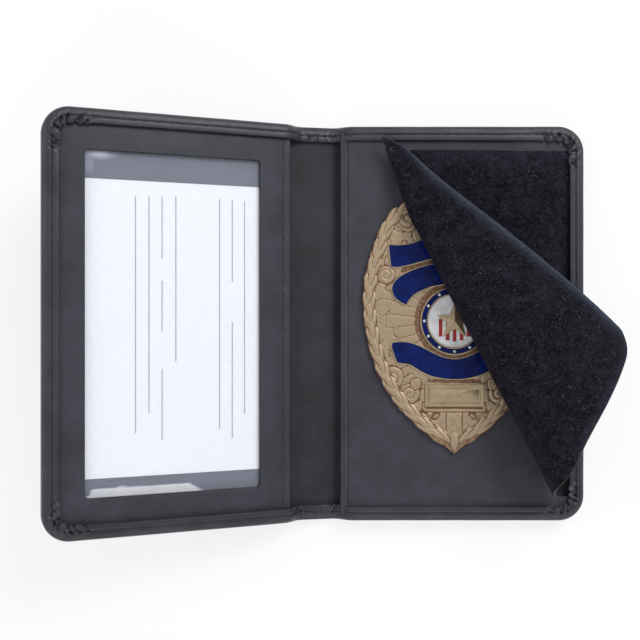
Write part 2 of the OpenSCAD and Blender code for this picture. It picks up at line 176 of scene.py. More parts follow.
# %% A flat slab, cuts across it, and a modifier
def slab(name, x0, x1, y0, y1, z, height=None):
    """A flat plane, or a block when it has a height, left in edit mode."""
    clear()
    bpy.ops.mesh.primitive_plane_add(size=1, location=((x0 + x1) / 2, (y0 + y1) / 2, z))
    obj = scaled(named(name), (x1 - x0, y1 - y0, 1))
    take(obj)
    if height:
        bpy.ops.mesh.select_all(action="SELECT")
        bpy.ops.mesh.extrude_region_move(TRANSFORM_OT_translate={"value": (0, 0, height)})
        face_out()
    return obj


def slice_at(values, axis=0):
    """Cuts the whole piece across at each value along an axis."""
    for value in values:
        bpy.ops.mesh.select_all(action="SELECT")
        at, way = [0, 0, 0], [0, 0, 0]
        at[axis], way[axis] = value, 1
        bpy.ops.mesh.bisect(plane_co=at, plane_no=way)


def modify(obj, kind, **settings):
    take(obj, edit=False)
    m = obj.modifiers.new(kind.title(), kind)
    for key, value in settings.items():
        setattr(m, key, value)
    bpy.ops.object.modifier_apply(modifier=m.name)

# %% [markdown]
# Some shapes are uneven in a way that only a formula gives. For those the
# points are read, moved and written back. The noise is the same in every run.

# %% Read and move points
def points_of(obj):
    return np.array([v.co for v in obj.data.vertices], float).reshape(-1, 3)


def set_points(obj, points):
    obj.data.vertices.foreach_set("co", np.asarray(points, np.float32).ravel())
    obj.data.update()


def uneven_at(x, y, size, layer):
    """A smooth random height for each point, with swells about this size."""
    return np.array([noise.noise((a / size, b / size, layer)) for a, b in zip(x, y)])

# %% Merge doubled points, smooth, and copy
def outwards(obj):
    take(obj)
    bpy.ops.mesh.select_all(action="SELECT")
    bpy.ops.mesh.remove_doubles(threshold=0.0005)
    face_out()
    clear()


def round_shade(obj, angle=35):
    take(obj, edit=False)
    bpy.ops.object.shade_smooth_by_angle(angle=math.radians(angle))
    clear()


def copy_of(obj):
    twin = obj.copy()
    twin.data = obj.data.copy()
    bpy.context.collection.objects.link(twin)
    return twin

# %% [markdown]
# A finished piece is folded to its place and gets its finish and the body
# that it rides on. A piece across a fold turns partly with each side.

# %% Finish a piece
def painted(obj, material):
    obj.data.materials.clear()
    for m in material if isinstance(material, list) else [material]:
        obj.data.materials.append(m)


def finished(obj, place, material, body=None, fold=None, stands_for=(), angle=35):
    """Places the mesh, and gives it its finish and its body."""
    clear()
    set_points(obj, place(points_of(obj)))
    if material:
        painted(obj, material)
    round_shade(obj, angle)
    if fold:
        ends = {"right": ("back_leaf", "spine"), "left": ("spine", "front_leaf")}[fold]
        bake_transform(obj, *ends, start=fold_points[fold][0], end=fold_points[fold][1])
    else:
        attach(obj, body)
    if stands_for:
        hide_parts(*stands_for)
    print(obj.name, len(obj.data.polygons), "faces")

# %% [markdown]
# ## Finishes
# The leather is a soft black-brown with a fine grain. Real grain is a net of
# small cells with broader creases over it, so two textures feed one bump. All
# of them read the object's own coordinates, so that no picture is needed.

# %% Helpers that make and wire a material
def shader(m):
    return m.node_tree.nodes["Principled BSDF"]


def new_material(name, color, roughness, metallic=0.0, **sockets):
    m = bpy.data.materials.new(name)
    m.use_nodes = True
    b = shader(m)
    b.inputs["Base Color"].default_value = (*color, 1)
    b.inputs["Roughness"].default_value = roughness
    b.inputs["Metallic"].default_value = metallic
    for key, value in sockets.items():
        b.inputs[key.replace("_", " ")].default_value = value
    return m


def node(m, kind, **settings):
    n = m.node_tree.nodes.new(kind)
    for key, value in settings.items():
        if key in n.inputs:
            n.inputs[key].default_value = value
        elif key.replace("_", " ") in n.inputs:
            n.inputs[key.replace("_", " ")].default_value = value
        else:
            setattr(n, key, value)
    return n


def wire(m, a, out, b, into):
    m.node_tree.links.new(a.outputs[out], b.inputs[into])


def textured(m, *textures):
    """Feeds the object's own coordinates to each texture."""
    c = node(m, "ShaderNodeTexCoord")
    for texture in textures:
        wire(m, c, "Object", texture, "Vector")


def ramp_from(ramp, low, high):
    ramp.color_ramp.elements[0].position, ramp.color_ramp.elements[1].position = low, high
    return ramp


def shade_between(m, factor, out, dark, light, low=0.35, high=0.65, into="Base Color"):
    ramp = ramp_from(node(m, "ShaderNodeValToRGB"), low, high)
    ramp.color_ramp.elements[0].color, ramp.color_ramp.elements[1].color = (*dark, 1), (*light, 1)
    wire(m, factor, out, ramp, "Fac")
    wire(m, ramp, "Color", shader(m), into)
    return ramp


def bump_from(m, heights, distance):
    """Adds up (node, output, strength) heights into one bump, in metres."""
    last = None
    for n, out, strength in heights:
        bump = node(m, "ShaderNodeBump", Strength=strength, Distance=distance)
        wire(m, n, out, bump, "Height")
        if last:
            wire(m, last, "Normal", bump, "Normal")
        last = bump
    wire(m, last, "Normal", shader(m), "Normal")


# %% Leather with its grain
def leather(name, dark, light, roughness, grain=2600, depth=0.00007, shine=0.30, rim=0.0):
    m = new_material(name, light, roughness, Specular_IOR_Level=shine, Sheen_Weight=rim, Sheen_Roughness=0.3)
    shader(m).inputs["Sheen Tint"].default_value = (0.70, 0.82, 1.0, 1)
    net = node(m, "ShaderNodeTexVoronoi", feature="DISTANCE_TO_EDGE", Scale=grain)
    creases = node(m, "ShaderNodeTexNoise", Scale=grain / 7, Detail=6.0, Roughness=0.62)
    cloud = node(m, "ShaderNodeTexNoise", Scale=120.0, Detail=6.0, Roughness=0.6)
    textured(m, net, creases, cloud)
    shade_between(m, cloud, "Fac", dark, light)
    bump_from(m, [(net, "Distance", 0.5), (creases, "Fac", 0.6)], depth)
    return m


GRAIN = 2100
outer_leather = leather("outer_leather", (0.010, 0.0096, 0.0160), (0.025, 0.0245, 0.037), 0.42,
                        grain=GRAIN, depth=0.00014, shine=0.34, rim=0.10)
panel_leather = leather("panel_leather", (0.0200, 0.0195, 0.0280), (0.031, 0.0310, 0.044), 0.60)
lining_leather = leather("lining_leather", (0.007, 0.0064, 0.0090), (0.0165, 0.0160, 0.0235), 0.62)
print("leather grain cells are about", round(1000 / GRAIN, 2), "mm")

# %% Woven and fibrous finishes: raw edges, a painted highlight for a crease, board and thread
def fabric(name, dark, light, roughness, scale, depth):
    m = new_material(name, light, roughness)
    warp = node(m, "ShaderNodeTexWave", bands_direction="X", Scale=scale, Distortion=0.6)
    weft = node(m, "ShaderNodeTexWave", bands_direction="Y", Scale=scale, Distortion=0.6)
    cloud = node(m, "ShaderNodeTexNoise", Scale=260.0, Detail=5.0)
    textured(m, warp, weft, cloud)
    shade_between(m, cloud, "Fac", dark, light)
    bump_from(m, [(warp, "Fac", 0.4), (weft, "Fac", 0.4)], depth)
    return m


raw_edge = fabric("raw_leather_edge", (0.010, 0.0055, 0.0050), (0.034, 0.019, 0.015), 0.85, 1800, 0.00006)
# a lighter leather for one wall of the badge panel's crease: a painted highlight
crease_painted_highlight = fabric("crease_painted_highlight", (0.045, 0.038, 0.035), (0.110, 0.092, 0.082), 0.6, 1500, 0.00004)
grey_board = fabric("grey_board", (0.20, 0.17, 0.13), (0.28, 0.24, 0.19), 0.9, 500, 0.00003)
thread = fabric("thread", (0.003, 0.003, 0.005), (0.010, 0.009, 0.013), 0.7, 2400, 0.00005)
print("finishes so far:", len(bpy.data.materials))

# %% [markdown]
# ## The outer leather
# One sheet of leather wraps both leaves and the spine. Its edge is turned in
# over the lining as a hem about 4 mm wide. It could be swept along the
# outline, but insets of one flat face give the same rings and keep the
# corners round, so the face is inset step by step with a change of height.

# %% Rings from the outline to the lip of the hem
EDGE_R, LEAF_T, SKIN_T, SPINE_T, HEM_W = 1.9, 5.7, 0.95, 2.4, 4.1
outer = slab("outer", -SPINE_W - LEAF_W, LEAF_W, -HALF_H, HALF_H, EDGE_R)
pick(lambda c, v: True, "VERT")
bpy.ops.mesh.bevel(offset=CORNER_R, segments=42, affect="VERTICES")
bpy.ops.mesh.select_all(action="SELECT")
bpy.ops.mesh.extrude_region_move(TRANSFORM_OT_translate={"value": (0, 0, LEAF_T - 2 * EDGE_R)})
face_out()
quarter = [math.radians(a) for a in (0, 18, 36, 54, 72, 90)]
turned = [(EDGE_R * (math.cos(a) - math.cos(b)), EDGE_R * (math.sin(b) - math.sin(a)))
          for a, b in zip(quarter, quarter[1:])]
# (inward, up) steps, with the groove for the stitches after the first
hem = [(0.25, 0), (0.2, -0.2), (0.1, 0), (0.25, 0.2), (0.4, 0.05), (0.5, 0.03), (0.35, -0.06), (0.15, -0.2)]
pick(lambda c, f: f.normal.z > 0.9)
for inward, up in turned + hem:
    bpy.ops.mesh.inset(thickness=inward, depth=up, use_even_offset=True)
bpy.ops.mesh.delete(type="FACE")
pick(lambda c, f: f.normal.z < -0.9)
for inward, down in turned:
    bpy.ops.mesh.inset(thickness=inward, depth=down, use_even_offset=True)

# %% Cut columns at the folds, then give the sheet its thickness
near_fold = list(np.arange(-5.6, 5.3, 0.4))
on_leaf = list(np.arange(8, LEAF_W - 13, 5))
columns = near_fold + [-SPINE_W - v for v in near_fold] + [MID_SPINE]
columns += on_leaf + [-SPINE_W - v for v in on_leaf]
by_corner = list(np.arange(LEAF_W - CORNER_R - 5, LEAF_W - CORNER_R - 0.1, 0.4))
slice_at(columns + by_corner + [-SPINE_W - v for v in by_corner], 0)
by_end = list(np.arange(HALF_H - CORNER_R - 5, HALF_H - CORNER_R - 0.1, 0.4))
slice_at(list(np.arange(-40, 41, 5)) + by_end + [-v for v in by_end], 1)
modify(outer, "SOLIDIFY", thickness=SKIN_T, offset=-1, use_even_offset=True)
outwards(outer)


def inset_of(p, y):
    """How far in from the outline of the open case a point lies."""
    dx = np.abs(p + SPINE_W / 2) - (LEAF_W + SPINE_W / 2 - CORNER_R)
    dy = np.abs(y) - (HALF_H - CORNER_R)
    return CORNER_R - np.where((dx > 0) & (dy > 0), np.hypot(dx, dy), np.maximum(dx, dy))


# the cut edge at the lip shows the brown of the hide
painted(outer, [outer_leather, raw_edge])
for f in outer.data.polygons:
    at_lip = f.center.z > LEAF_T - 1.3 and inset_of(f.center.x, f.center.y) > HEM_W - 0.16
    f.material_index = 1 if at_lip else 0
print("outer leather:", len(outer.data.vertices), "points, columns", len(columns))

# %% [markdown]
# The hem stands 5.7 mm high on the leaves, where it covers board, lining and
# panel. On the spine there is only lining under it, so it drops to 2.4 mm and
# gathers in small folds at the bend. Each outer corner is gathered in a fan
# of pleats. These are moves of single points, which a formula does evenly.

# %% Height of the hem
def hem_height(p):
    rise = np.maximum(smooth((p + 2.2) / 6.2), smooth((-SPINE_W - p + 2.2) / 6.2))
    return SPINE_T + (LEAF_T - SPINE_T) * rise


def squeezed(points):
    """Lowers what lies above the underside to the height at that place."""
    p, y, z = points.T.copy()
    h = hem_height(p)
    middle = SKIN_T + (z - SKIN_T) * (h - 2 * SKIN_T) / (LEAF_T - 2 * SKIN_T)
    z = np.where(z <= SKIN_T, z, np.where(z >= LEAF_T - SKIN_T, z - LEAF_T + h, middle))
    return np.stack([p, y, z], axis=1)


# %% [markdown]
# A pleat is a rounded swelling between two sharp creases. The creases stand at
# uneven distances, and noise moves them a little, as in leather drawn in by
# hand. At a corner they fan out, so they are counted by the angle there.

# %% Pleats in a fan at each corner
PLEATS = np.array([-72.0, -50.0, -33.0, -7.0, 22.0, 46.0, 79.0, 110.0, 138.0, 160.0])
GATHERS = np.array([-6.0, -5.1, -4.3, -3.1, -2.4, -1.3, -0.6, 0.5, 1.2, 2.3, 3.1, 4.4, 5.4])
SWELLS = ((9, 3.1), (2.5, 8.1), (0.9, 4.4), (0.4, 6.6))


def puffed(t, creases):
    """Rounded swellings between sharp creases, 0 in a crease and 1 between."""
    k = np.clip(np.searchsorted(creases, t) - 1, 0, len(creases) - 2)
    share = np.clip((t - creases[k]) / (creases[k + 1] - creases[k]), 0, 1)
    return np.sin(math.pi * share) ** 0.5


def pleated(p, y, z, top, deep, swells, corner, side, end):
    """Draws one corner of the hem into pleats."""
    middling, fine, grit = swells[1:]
    dx = side * (p - MID_SPINE) - (LEAF_W + SPINE_W / 2 - CORNER_R)
    dy = end * y - (HALF_H - CORNER_R)
    phi = np.where((dx > 0) & (dy > 0), np.degrees(np.arctan2(dy, np.maximum(dx, 1e-6))),
                   np.where(dx <= 0, 90 - dx * 11, dy * 11))
    near = (np.maximum(dx, dy) > 0) & (np.minimum(dx, dy) > -7)
    creases = PLEATS + 6 * np.sin(np.arange(len(PLEATS)) * 2.3 + corner * 1.9)
    swell = puffed(phi + 9 * (deep - 3) + 12 * middling, creases)
    reach = smooth((deep - 1.6) / 0.8) * smooth((phi + 60) / 22) * smooth((150 - phi) / 22) * top * near
    z = z + reach * (0.95 * swell - 0.78 + 0.40 * fine + 0.22 * grit)
    pull = reach * 0.8 * (swell - 0.45) * smooth((deep - 2.6) / 1.2)
    a = np.radians(np.clip(phi, 0, 90))
    return p - side * pull * np.cos(a), y - end * pull * np.sin(a), z


# %% Gathers where the hem bends across the spine
def drawn_in(p, y, z, top, swells):
    """Gathers the hem on the spine, then adds a soft unevenness all round."""
    slow, middling, fine, grit = swells
    from_rim = HALF_H - np.abs(y)
    q = np.where(p > MID_SPINE, p, -SPINE_W - p)
    q = q + 0.4 * np.sin(from_rim * 1.3 + np.sign(y)) + 0.5 * middling
    strength = (0.8 * np.exp(-(((q - 0.4) / 2.5) ** 2)) + 0.6 * smooth(-q / 1.5)) * smooth((5.4 - q) / 1.0)
    gather = smooth((from_rim - 1.0) / 1.0) * (from_rim < HEM_W + 1.2) * top * strength
    swell = puffed(q, GATHERS)
    z = z + gather * (0.5 * swell - 0.38 + 0.3 * fine + 0.15 * grit)
    y = y + np.sign(y) * gather * 0.4 * (0.5 - swell) * smooth((from_rim - 2.6) / 1.2)
    return p, y, z + (0.16 * slow + 0.07 * middling) * top


def gathered(points):
    p, y, z = points.T.copy()
    top, deep = smooth((z - 3.2) / 1.2), inset_of(p, y)
    swells = [uneven_at(p, y, size, layer) for size, layer in SWELLS]
    for corner, (side, end) in enumerate([(1, 1), (1, -1), (-1, 1), (-1, -1)]):
        p, y, z = pleated(p, y, z, top, deep, swells, corner, side, end)
    return np.stack(drawn_in(p, y, z, top, swells), axis=1)


def cased(points):
    return folded(squeezed(gathered(points)))

# %% Part the sheet at the middle of the spine, one piece for each fold
def parted(sheet, names):
    """Two halves of a sheet, the cut filled: the right one, then the left."""
    pieces = [sheet, copy_of(sheet)]
    for obj, way, name in zip(pieces, (1, -1), names):
        take(obj)
        bpy.ops.mesh.select_all(action="SELECT")
        bpy.ops.mesh.bisect(plane_co=(MID_SPINE, 0, 0), plane_no=(way, 0, 0), use_fill=True, clear_inner=True)
        outwards(obj)
        obj.name = name
    return pieces


outer_right, outer_left = parted(outer, ["outer_leather_badge_side", "outer_leather_card_side"])
finished(outer_right, cased, None, fold="right", stands_for=["cover_back", "cover_spine"])
finished(outer_left, cased, None, fold="left", stands_for=["cover_front"])

# %% [markdown]
# ## Stitching
# The hem is sewn all round, 2.4 mm in, at about 3.1 mm to a stitch. A stitch
# is a short thread with rounded ends that sinks into a groove in the leather.
# One is shaped from a small sphere and copied, each copy with its own mesh.

# %% One stitch
def one_stitch():
    clear()
    bpy.ops.mesh.primitive_uv_sphere_add(segments=8, ring_count=6, radius=1)
    obj = scaled(bpy.context.object, (0.95, 0.2, 0.2))
    take(obj)
    pick(lambda c, v: abs(c.x) < 0.62, "VERT")
    bpy.ops.transform.resize(value=(1.15, 1.12, 1.0))
    clear()
    return obj


stitch = one_stitch()
print("a stitch is", round(stitch.dimensions.x, 2), "mm long")

# %% A row of copies
def join(objs, name):
    take(objs[0], edit=False)
    for o in objs:
        o.select_set(True)
    bpy.ops.object.join()
    joined = bpy.context.object
    joined.name = joined.data.name = name
    clear()
    return joined


def row_of(pattern, places, name):
    """Copies of one pattern, each turned, set in its place and joined."""
    base, copies = points_of(pattern), []
    for x, y, z, way, size in places:
        a = math.radians(way)
        turn = np.array([[math.cos(a), math.sin(a), 0], [-math.sin(a), math.cos(a), 0], [0, 0, 1]])
        twin = copy_of(pattern)
        set_points(twin, (base * size) @ turn + np.array([x, y, z]))
        copies.append(twin)
    row = join(copies, name)
    outwards(row)
    return row

# %% Stitches all round the hem
PITCH, STITCH_IN, STITCH_Z = 3.1, 2.4, LEAF_T - 0.14


def stitch_row(centres, name):
    """centres are (p, y, z, degrees); each stitch pulls a little askew."""
    places = [(p, y, z - 0.03 * (n * 7 % 4), way + (5 if n % 2 else -4), (1 - 0.05 * (n * 5 % 3), 1, 1))
              for n, (p, y, z, way) in enumerate(centres)]
    return row_of(stitch, places, name)


along_top = np.arange(MID_SPINE + PITCH / 2, LEAF_W - 8, PITCH)
along_side = np.arange(-HALF_H + 9, HALF_H - 8, PITCH)
hem_right = [(p, s * (HALF_H - STITCH_IN), STITCH_Z, 0) for p in along_top for s in (1, -1)]
hem_right += [(LEAF_W - STITCH_IN, y, STITCH_Z, 90) for y in along_side]
hem_left = [(-SPINE_W - p, y, z, way) for p, y, z, way in hem_right]
finished(stitch_row(hem_right, "stitches_badge_side"), cased, thread,
         fold="right", angle=80)
finished(stitch_row(hem_left, "stitches_card_side"), cased, thread,
         fold="left", angle=80)

# %% [markdown]
# ## Lining
# Thin lining covers the boards and runs across the spine without a break. It
# is one plane, cut into columns at the folds, dropped by a smooth step on the
# spine, and thickened downwards.

# %% Lining across both leaves and the spine
LINING_T, LEAF_LINING, SPINE_LINING = 0.5, 2.25, 1.45
TUCK, INNER_R = 2, 5
lining = slab("lining", -SPINE_W - LEAF_W + TUCK, LEAF_W - TUCK, -HALF_H + TUCK, HALF_H - TUCK, 0)
pick(lambda c, v: True, "VERT")
bpy.ops.mesh.bevel(offset=INNER_R, segments=8, affect="VERTICES")
slice_at(columns, 0)
slice_at(np.arange(-45, 46, 9), 1)
clear()
flat = points_of(lining)
rise = np.maximum(smooth((flat[:, 0] - 1.4) / 1.0), smooth((-SPINE_W - flat[:, 0] - 1.4) / 1.0))
flat[:, 2] = SPINE_LINING + (LEAF_LINING - SPINE_LINING) * rise
set_points(lining, flat)
modify(lining, "SOLIDIFY", thickness=LINING_T, offset=-1, use_even_offset=True)
outwards(lining)
lining_right, lining_left = parted(lining, ["lining_badge_side", "lining_card_side"])
finished(lining_right, folded, lining_leather, fold="right",
         stands_for=["lining_back", "lining_spine"])
finished(lining_left, folded, lining_leather, fold="left", stands_for=["lining_front"])
for name in ("board_back", "board_front"):
    painted(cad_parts[name], grey_board)

# %% [markdown]
# ## The card side
# A leather frame round a clear plastic window holds the card. The window is
# cut through, so its wall shows brown hide, and beside the spine the leather is
# turned under, so that edge is rounded. The frame is cut from a plane, its
# middle deleted, and Solidify and Bevel give it thickness and soft edges.

# %% Leather frame of the window
POCKET_Z, PANEL_T, PANEL_ROUND, FRAME_EDGE = 3.75, 1.0, 0.42, -SPINE_W - 2.5
WIN_S0, WIN_S1, WIN_Y, SEAM_S = 11.1, 56.9, 43.6, 4.5


def on_border(value, middle, half):
    """True where a value lies on one of two borders at the same distance from a middle."""
    return abs(abs(value - middle) - half) < 0.01


window_frame = slab("window_frame", -SPINE_W - LEAF_W + TUCK, FRAME_EDGE, -HALF_H + TUCK, HALF_H - TUCK,
                    POCKET_Z + PANEL_T)
pick(lambda c, v: c.x < -SPINE_W - 20, "VERT")
bpy.ops.mesh.bevel(offset=INNER_R, segments=8, affect="VERTICES")
slice_at([-SPINE_W - s for s in (WIN_S0, WIN_S1, SEAM_S - 0.35, SEAM_S, SEAM_S + 0.35)], 0)
slice_at([WIN_Y, -WIN_Y], 1)
pick(lambda c, f: -SPINE_W - WIN_S1 < c.x < -SPINE_W - WIN_S0 and abs(c.y) < WIN_Y)
bpy.ops.mesh.delete(type="FACE")
mid_window, half_window = -SPINE_W - (WIN_S0 + WIN_S1) / 2, (WIN_S1 - WIN_S0) / 2
pick(lambda c, v: on_border(c.x, mid_window, half_window) and on_border(c.y, 0, WIN_Y), "VERT")
bpy.ops.mesh.bevel(offset=0.9, segments=4, affect="VERTICES")
pick(lambda c, v: abs(c.x + SPINE_W + SEAM_S) < 0.01, "VERT")
bpy.ops.transform.translate(value=(0, 0, -0.16))
modify(window_frame, "SOLIDIFY", thickness=PANEL_T, offset=-1)

# %% Round its edges, and show the raw edge in the window
mid_panel = POCKET_Z + PANEL_T / 2
take(window_frame)
pick(lambda c, e: on_border(c.x, FRAME_EDGE, 0) and on_border(c.z, mid_panel, PANEL_T / 2), "EDGE")
bpy.ops.mesh.bevel(offset=PANEL_ROUND, segments=5, affect="EDGES")
modify(window_frame, "BEVEL", width=0.13, segments=2, limit_method="ANGLE", angle_limit=math.radians(60))
outwards(window_frame)
painted(window_frame, [panel_leather, raw_edge])
for f in window_frame.data.polygons:
    inside = abs(f.center.x - mid_window) < half_window + 0.1 and abs(f.center.y) < WIN_Y + 0.1
    f.material_index = 1 if inside and abs(f.normal.z) < 0.8 else 0
finished(window_frame, folded, None, body="front_leaf", stands_for=["window_panel"])
seam_z = POCKET_Z + PANEL_T - 0.1
panel_seam = [front(SEAM_S, y, seam_z) + (90,) for y in np.arange(-HALF_H + 6, HALF_H - 5, PITCH)]
finished(stitch_row(panel_seam, "stitches_window_frame"), folded, thread,
         body="front_leaf", angle=80)

# %% [markdown]
# The clear sheet is soft plastic. It lies loose over the card, so it has slow
# waves that catch the light. Plain glass would darken the card, because light
# can't pass it in a straight line, so the sheet is mostly see-through with a
# thin bluish tone, which is partly the plastic's own haze and partly painted
# reflection. Paler patches along its low edge, near a top corner and down one
# side are painted highlights.

# %% Finish of the clear sheet, paler where highlights are painted
# the sheet's bluish tone is partly haze and partly painted reflection; the second tone is a painted highlight
CLEAR, PAINTED_HIGHLIGHT_TONE = (0.68, 0.76, 0.94), (0.68, 0.68, 0.72)
clear_film = new_material("clear_film", CLEAR, 0.16, Alpha=0.125, Specular_IOR_Level=0.8)
ripple = node(clear_film, "ShaderNodeTexNoise", Scale=55.0, Detail=3.0)
textured(clear_film, ripple)
bump_from(clear_film, [(ripple, "Fac", 0.35)], 0.0006)
# where the highlights are painted, the sheet turns paler and less see-through
painted_highlight_share = node(clear_film, "ShaderNodeAttribute", attribute_name="painted_highlight_share")
shade_between(clear_film, painted_highlight_share, "Fac", CLEAR, PAINTED_HIGHLIGHT_TONE, 0.0, 1.0)
highlight_alpha = node(clear_film, "ShaderNodeMath", operation="MULTIPLY_ADD")
highlight_alpha.inputs[1].default_value, highlight_alpha.inputs[2].default_value = 0.66, 0.120
wire(clear_film, painted_highlight_share, "Fac", highlight_alpha, 0)
wire(clear_film, highlight_alpha, 0, shader(clear_film), "Alpha")

# %% The sheet, with rows of points closer together at both ends
FILM_W, FILM_L, FILM_T, FILM_S = 52.6, 94.6, 0.22, 33.8
clear()
bpy.ops.mesh.primitive_grid_add(x_subdivisions=74, y_subdivisions=132, size=1,
                                location=front(FILM_S, 0, POCKET_Z - 0.06))
film = scaled(named("clear_sheet"), (FILM_W, FILM_L, 1))
film_flat = points_of(film)
along = film_flat[:, 1] / FILM_L + 0.5
film_flat[:, 1] = (along - 0.75 * np.sin(2 * math.pi * along) / (2 * math.pi) - 0.5) * FILM_L
film_flat[:, 2] += 0.05 * uneven_at(film_flat[:, 0] / 14, film_flat[:, 1] / 22, 1, 7.7)
set_points(film, film_flat)
modify(film, "SOLIDIFY", thickness=FILM_T, offset=-1)

# %% Where highlights are painted on the sheet
def marked(obj, name, values):
    """Keeps a value for each point of a mesh, which a finish can read."""
    mark = obj.data.attributes.new(name, "FLOAT", "POINT")
    mark.data.foreach_set("value", np.asarray(values, np.float32))


# painted highlights: a band along the low edge, a spot near a top corner and a strip down the far side
def painted_film_highlights(points):
    s, y = -SPINE_W - points[:, 0], points[:, 1]
    wavy = 0.5 * uneven_at(s, y, 6, 1.3) + 0.25 * uneven_at(s, y, 1.6, 2.3)
    low_edge = -41.4 + 0.6 * wavy - 2.4 * smooth((31 - s) / 5) - 2.4 * smooth((s - 54.8) / 1.8)
    low = smooth((low_edge - y) / 0.35)
    high = 0.55 * np.exp(-(((s - 53.4) / 2.7) ** 2)) * np.exp(-(((y - 42.7) / 0.9) ** 2))
    side = 0.12 * smooth((s - 54.6) / 0.5) * smooth((y - 37) / 2)
    return np.clip(np.maximum(np.maximum(low, high), side) * (0.92 + 0.3 * wavy), 0, 1)


marked(film, "painted_highlight_share", painted_film_highlights(points_of(film)))
finished(film, folded, clear_film, body="front_leaf", stands_for=["window_sheet"])

# %% [markdown]
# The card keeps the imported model's shape and gets a paper finish. Its rules
# are thin strips that stand a little proud of it. Its words are left out.

# %% The card and its printed rules
card_stock = new_material("card_stock", (0.90, 0.92, 0.95), 0.6)
fibres = node(card_stock, "ShaderNodeTexNoise", Scale=1400.0, Detail=4.0)
textured(card_stock, fibres)
shade_between(card_stock, fibres, "Fac", (0.835, 0.832, 0.835), (0.885, 0.882, 0.880))
bump_from(card_stock, [(fibres, "Fac", 0.2)], 0.00002)
painted(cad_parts["id_card"], card_stock)
ink = fabric("printing_ink", (0.25, 0.25, 0.26), (0.33, 0.33, 0.34), 0.6, 1500, 0.00001)

# each rule as (distance from the fold, lower end, upper end)
RULES = [(44.08, -27.9, 32.6), (40.62, -23.0, 32.75), (37.23, 16.8, 32.9), (37.23, -1.95, 11.1),
         (37.23, -29.9, -11.6), (33.63, -9.8, 33.1), (21.92, -27.85, 32.9), (18.46, 11.0, 32.8),
         (18.46, -30.3, 0.4), (15.05, -24.1, 32.7)]
RULE_HALF, RULE_Z, RULE_T = 0.15, 3.25, 0.02
strips = []
for s, low, high in RULES:
    strip = slab("rule", -SPINE_W - s - RULE_HALF, -SPINE_W - s + RULE_HALF, low, high, RULE_Z, RULE_T)
    slice_at(np.linspace(low, high, 5)[1:-1], 1)
    clear()
    strips.append(strip)
finished(join(strips, "card_rules"), folded, ink, body="card")

# %% [markdown]
# ## The badge panel
# The leather behind the badge is folded under beside the spine, so that edge
# is rounded, with a creased line 2 mm in. A notch at the far side takes the
# flap's seam. The crease is a narrow strip of the top face pushed down, and
# the wall beside it is painted lighter, as a painted highlight.

# %% Badge panel with its crease
PANEL_EDGE, CREASE_P, NOTCH_P, NOTCH_Y = 0.4, 2.55, 58.6, 47.25
badge_panel = slab("badge_panel_leather", PANEL_EDGE, LEAF_W - TUCK, -HALF_H + TUCK, HALF_H - TUCK,
                   POCKET_Z, PANEL_T)
pick(lambda c, e: abs(c.z - mid_panel) < 0.01 and c.x > 30, "EDGE")
bpy.ops.mesh.bevel(offset=INNER_R, segments=8, affect="EDGES")
slice_at([CREASE_P - 0.3, CREASE_P - 0.1, CREASE_P + 0.1, CREASE_P + 0.35], 0)
pick(lambda c, v: abs(c.x - CREASE_P) < 0.15 and c.z > mid_panel, "VERT")
bpy.ops.transform.translate(value=(0, 0, -0.26))
pick(lambda c, e: on_border(c.x, PANEL_EDGE, 0) and on_border(c.z, mid_panel, PANEL_T / 2), "EDGE")
bpy.ops.mesh.bevel(offset=PANEL_ROUND, segments=5, affect="EDGES")
clear()
notch = slab("notch", NOTCH_P, 70, -NOTCH_Y, NOTCH_Y, 0, 10)
clear()
modify(badge_panel, "BOOLEAN", operation="DIFFERENCE", object=notch, solver="EXACT")
bpy.data.objects.remove(notch)
outwards(badge_panel)
painted(badge_panel, [panel_leather, crease_painted_highlight])
# the wall just beside the crease gets the lighter finish, as a painted highlight
for f in badge_panel.data.polygons:
    painted_highlight_wall = 0.08 < CREASE_P - f.center.x < 0.32 and f.center.z > mid_panel
    f.material_index = 1 if painted_highlight_wall else 0
finished(badge_panel, folded, None, body="back_leaf", stands_for=["badge_panel"])

# %% [markdown]
# ## Metal, enamel and the badge
# The badge is struck from gold-coloured metal: a rim of laurel leaves, a sunk
# field with fine relief, three enamelled ribbons, a round seal and a blank
# plate. Dirt and a coppery tone sit in the low places.

# %% Finishes of struck metal
def struck_metal(name, low_tone, high_tone, roughness, depth, cells, scale=420.0, metallic=0.9):
    m = new_material(name, high_tone, roughness, metallic=metallic)
    relief = node(m, "ShaderNodeTexVoronoi", feature="SMOOTH_F1", Scale=scale)
    swirl = node(m, "ShaderNodeTexNoise", Scale=scale * 0.8, Detail=5.0, Distortion=1.6)
    fine = node(m, "ShaderNodeTexNoise", Scale=2200.0, Detail=3.0)
    textured(m, relief, swirl, fine)
    shade_between(m, swirl, "Fac", low_tone, high_tone, 0.36, 0.6)
    bump_from(m, [(relief, "Distance", cells), (swirl, "Fac", cells), (fine, "Fac", 0.15)], depth)
    return m


TAN, COPPER = (0.285, 0.220, 0.148), (0.120, 0.053, 0.031)
bright_gold = struck_metal("bright_gold", (0.265, 0.205, 0.130), (0.325, 0.258, 0.167), 0.34, 0.00004, 0.18)
field_gold = struck_metal("field_gold", (0.150, 0.088, 0.054), (0.240, 0.168, 0.107), 0.44, 0.00005, 0.5)
steel = struck_metal("pin_steel", (0.42, 0.42, 0.42), (0.62, 0.62, 0.61), 0.32, 0.00001, 0.1, metallic=1.0)
# in the relief the height of each point chooses between the two tones
relief_gold = struck_metal("relief_gold", COPPER, TAN, 0.46, 0.00004, 0.3)
height = node(relief_gold, "ShaderNodeAttribute", attribute_name="height")
ramp = next(n for n in relief_gold.node_tree.nodes if n.type == "VALTORGB")
ramp_from(ramp, 0.18, 0.62)
wire(relief_gold, height, "Fac", ramp, "Fac")
print("gold, in the low places and on top:", COPPER, TAN)

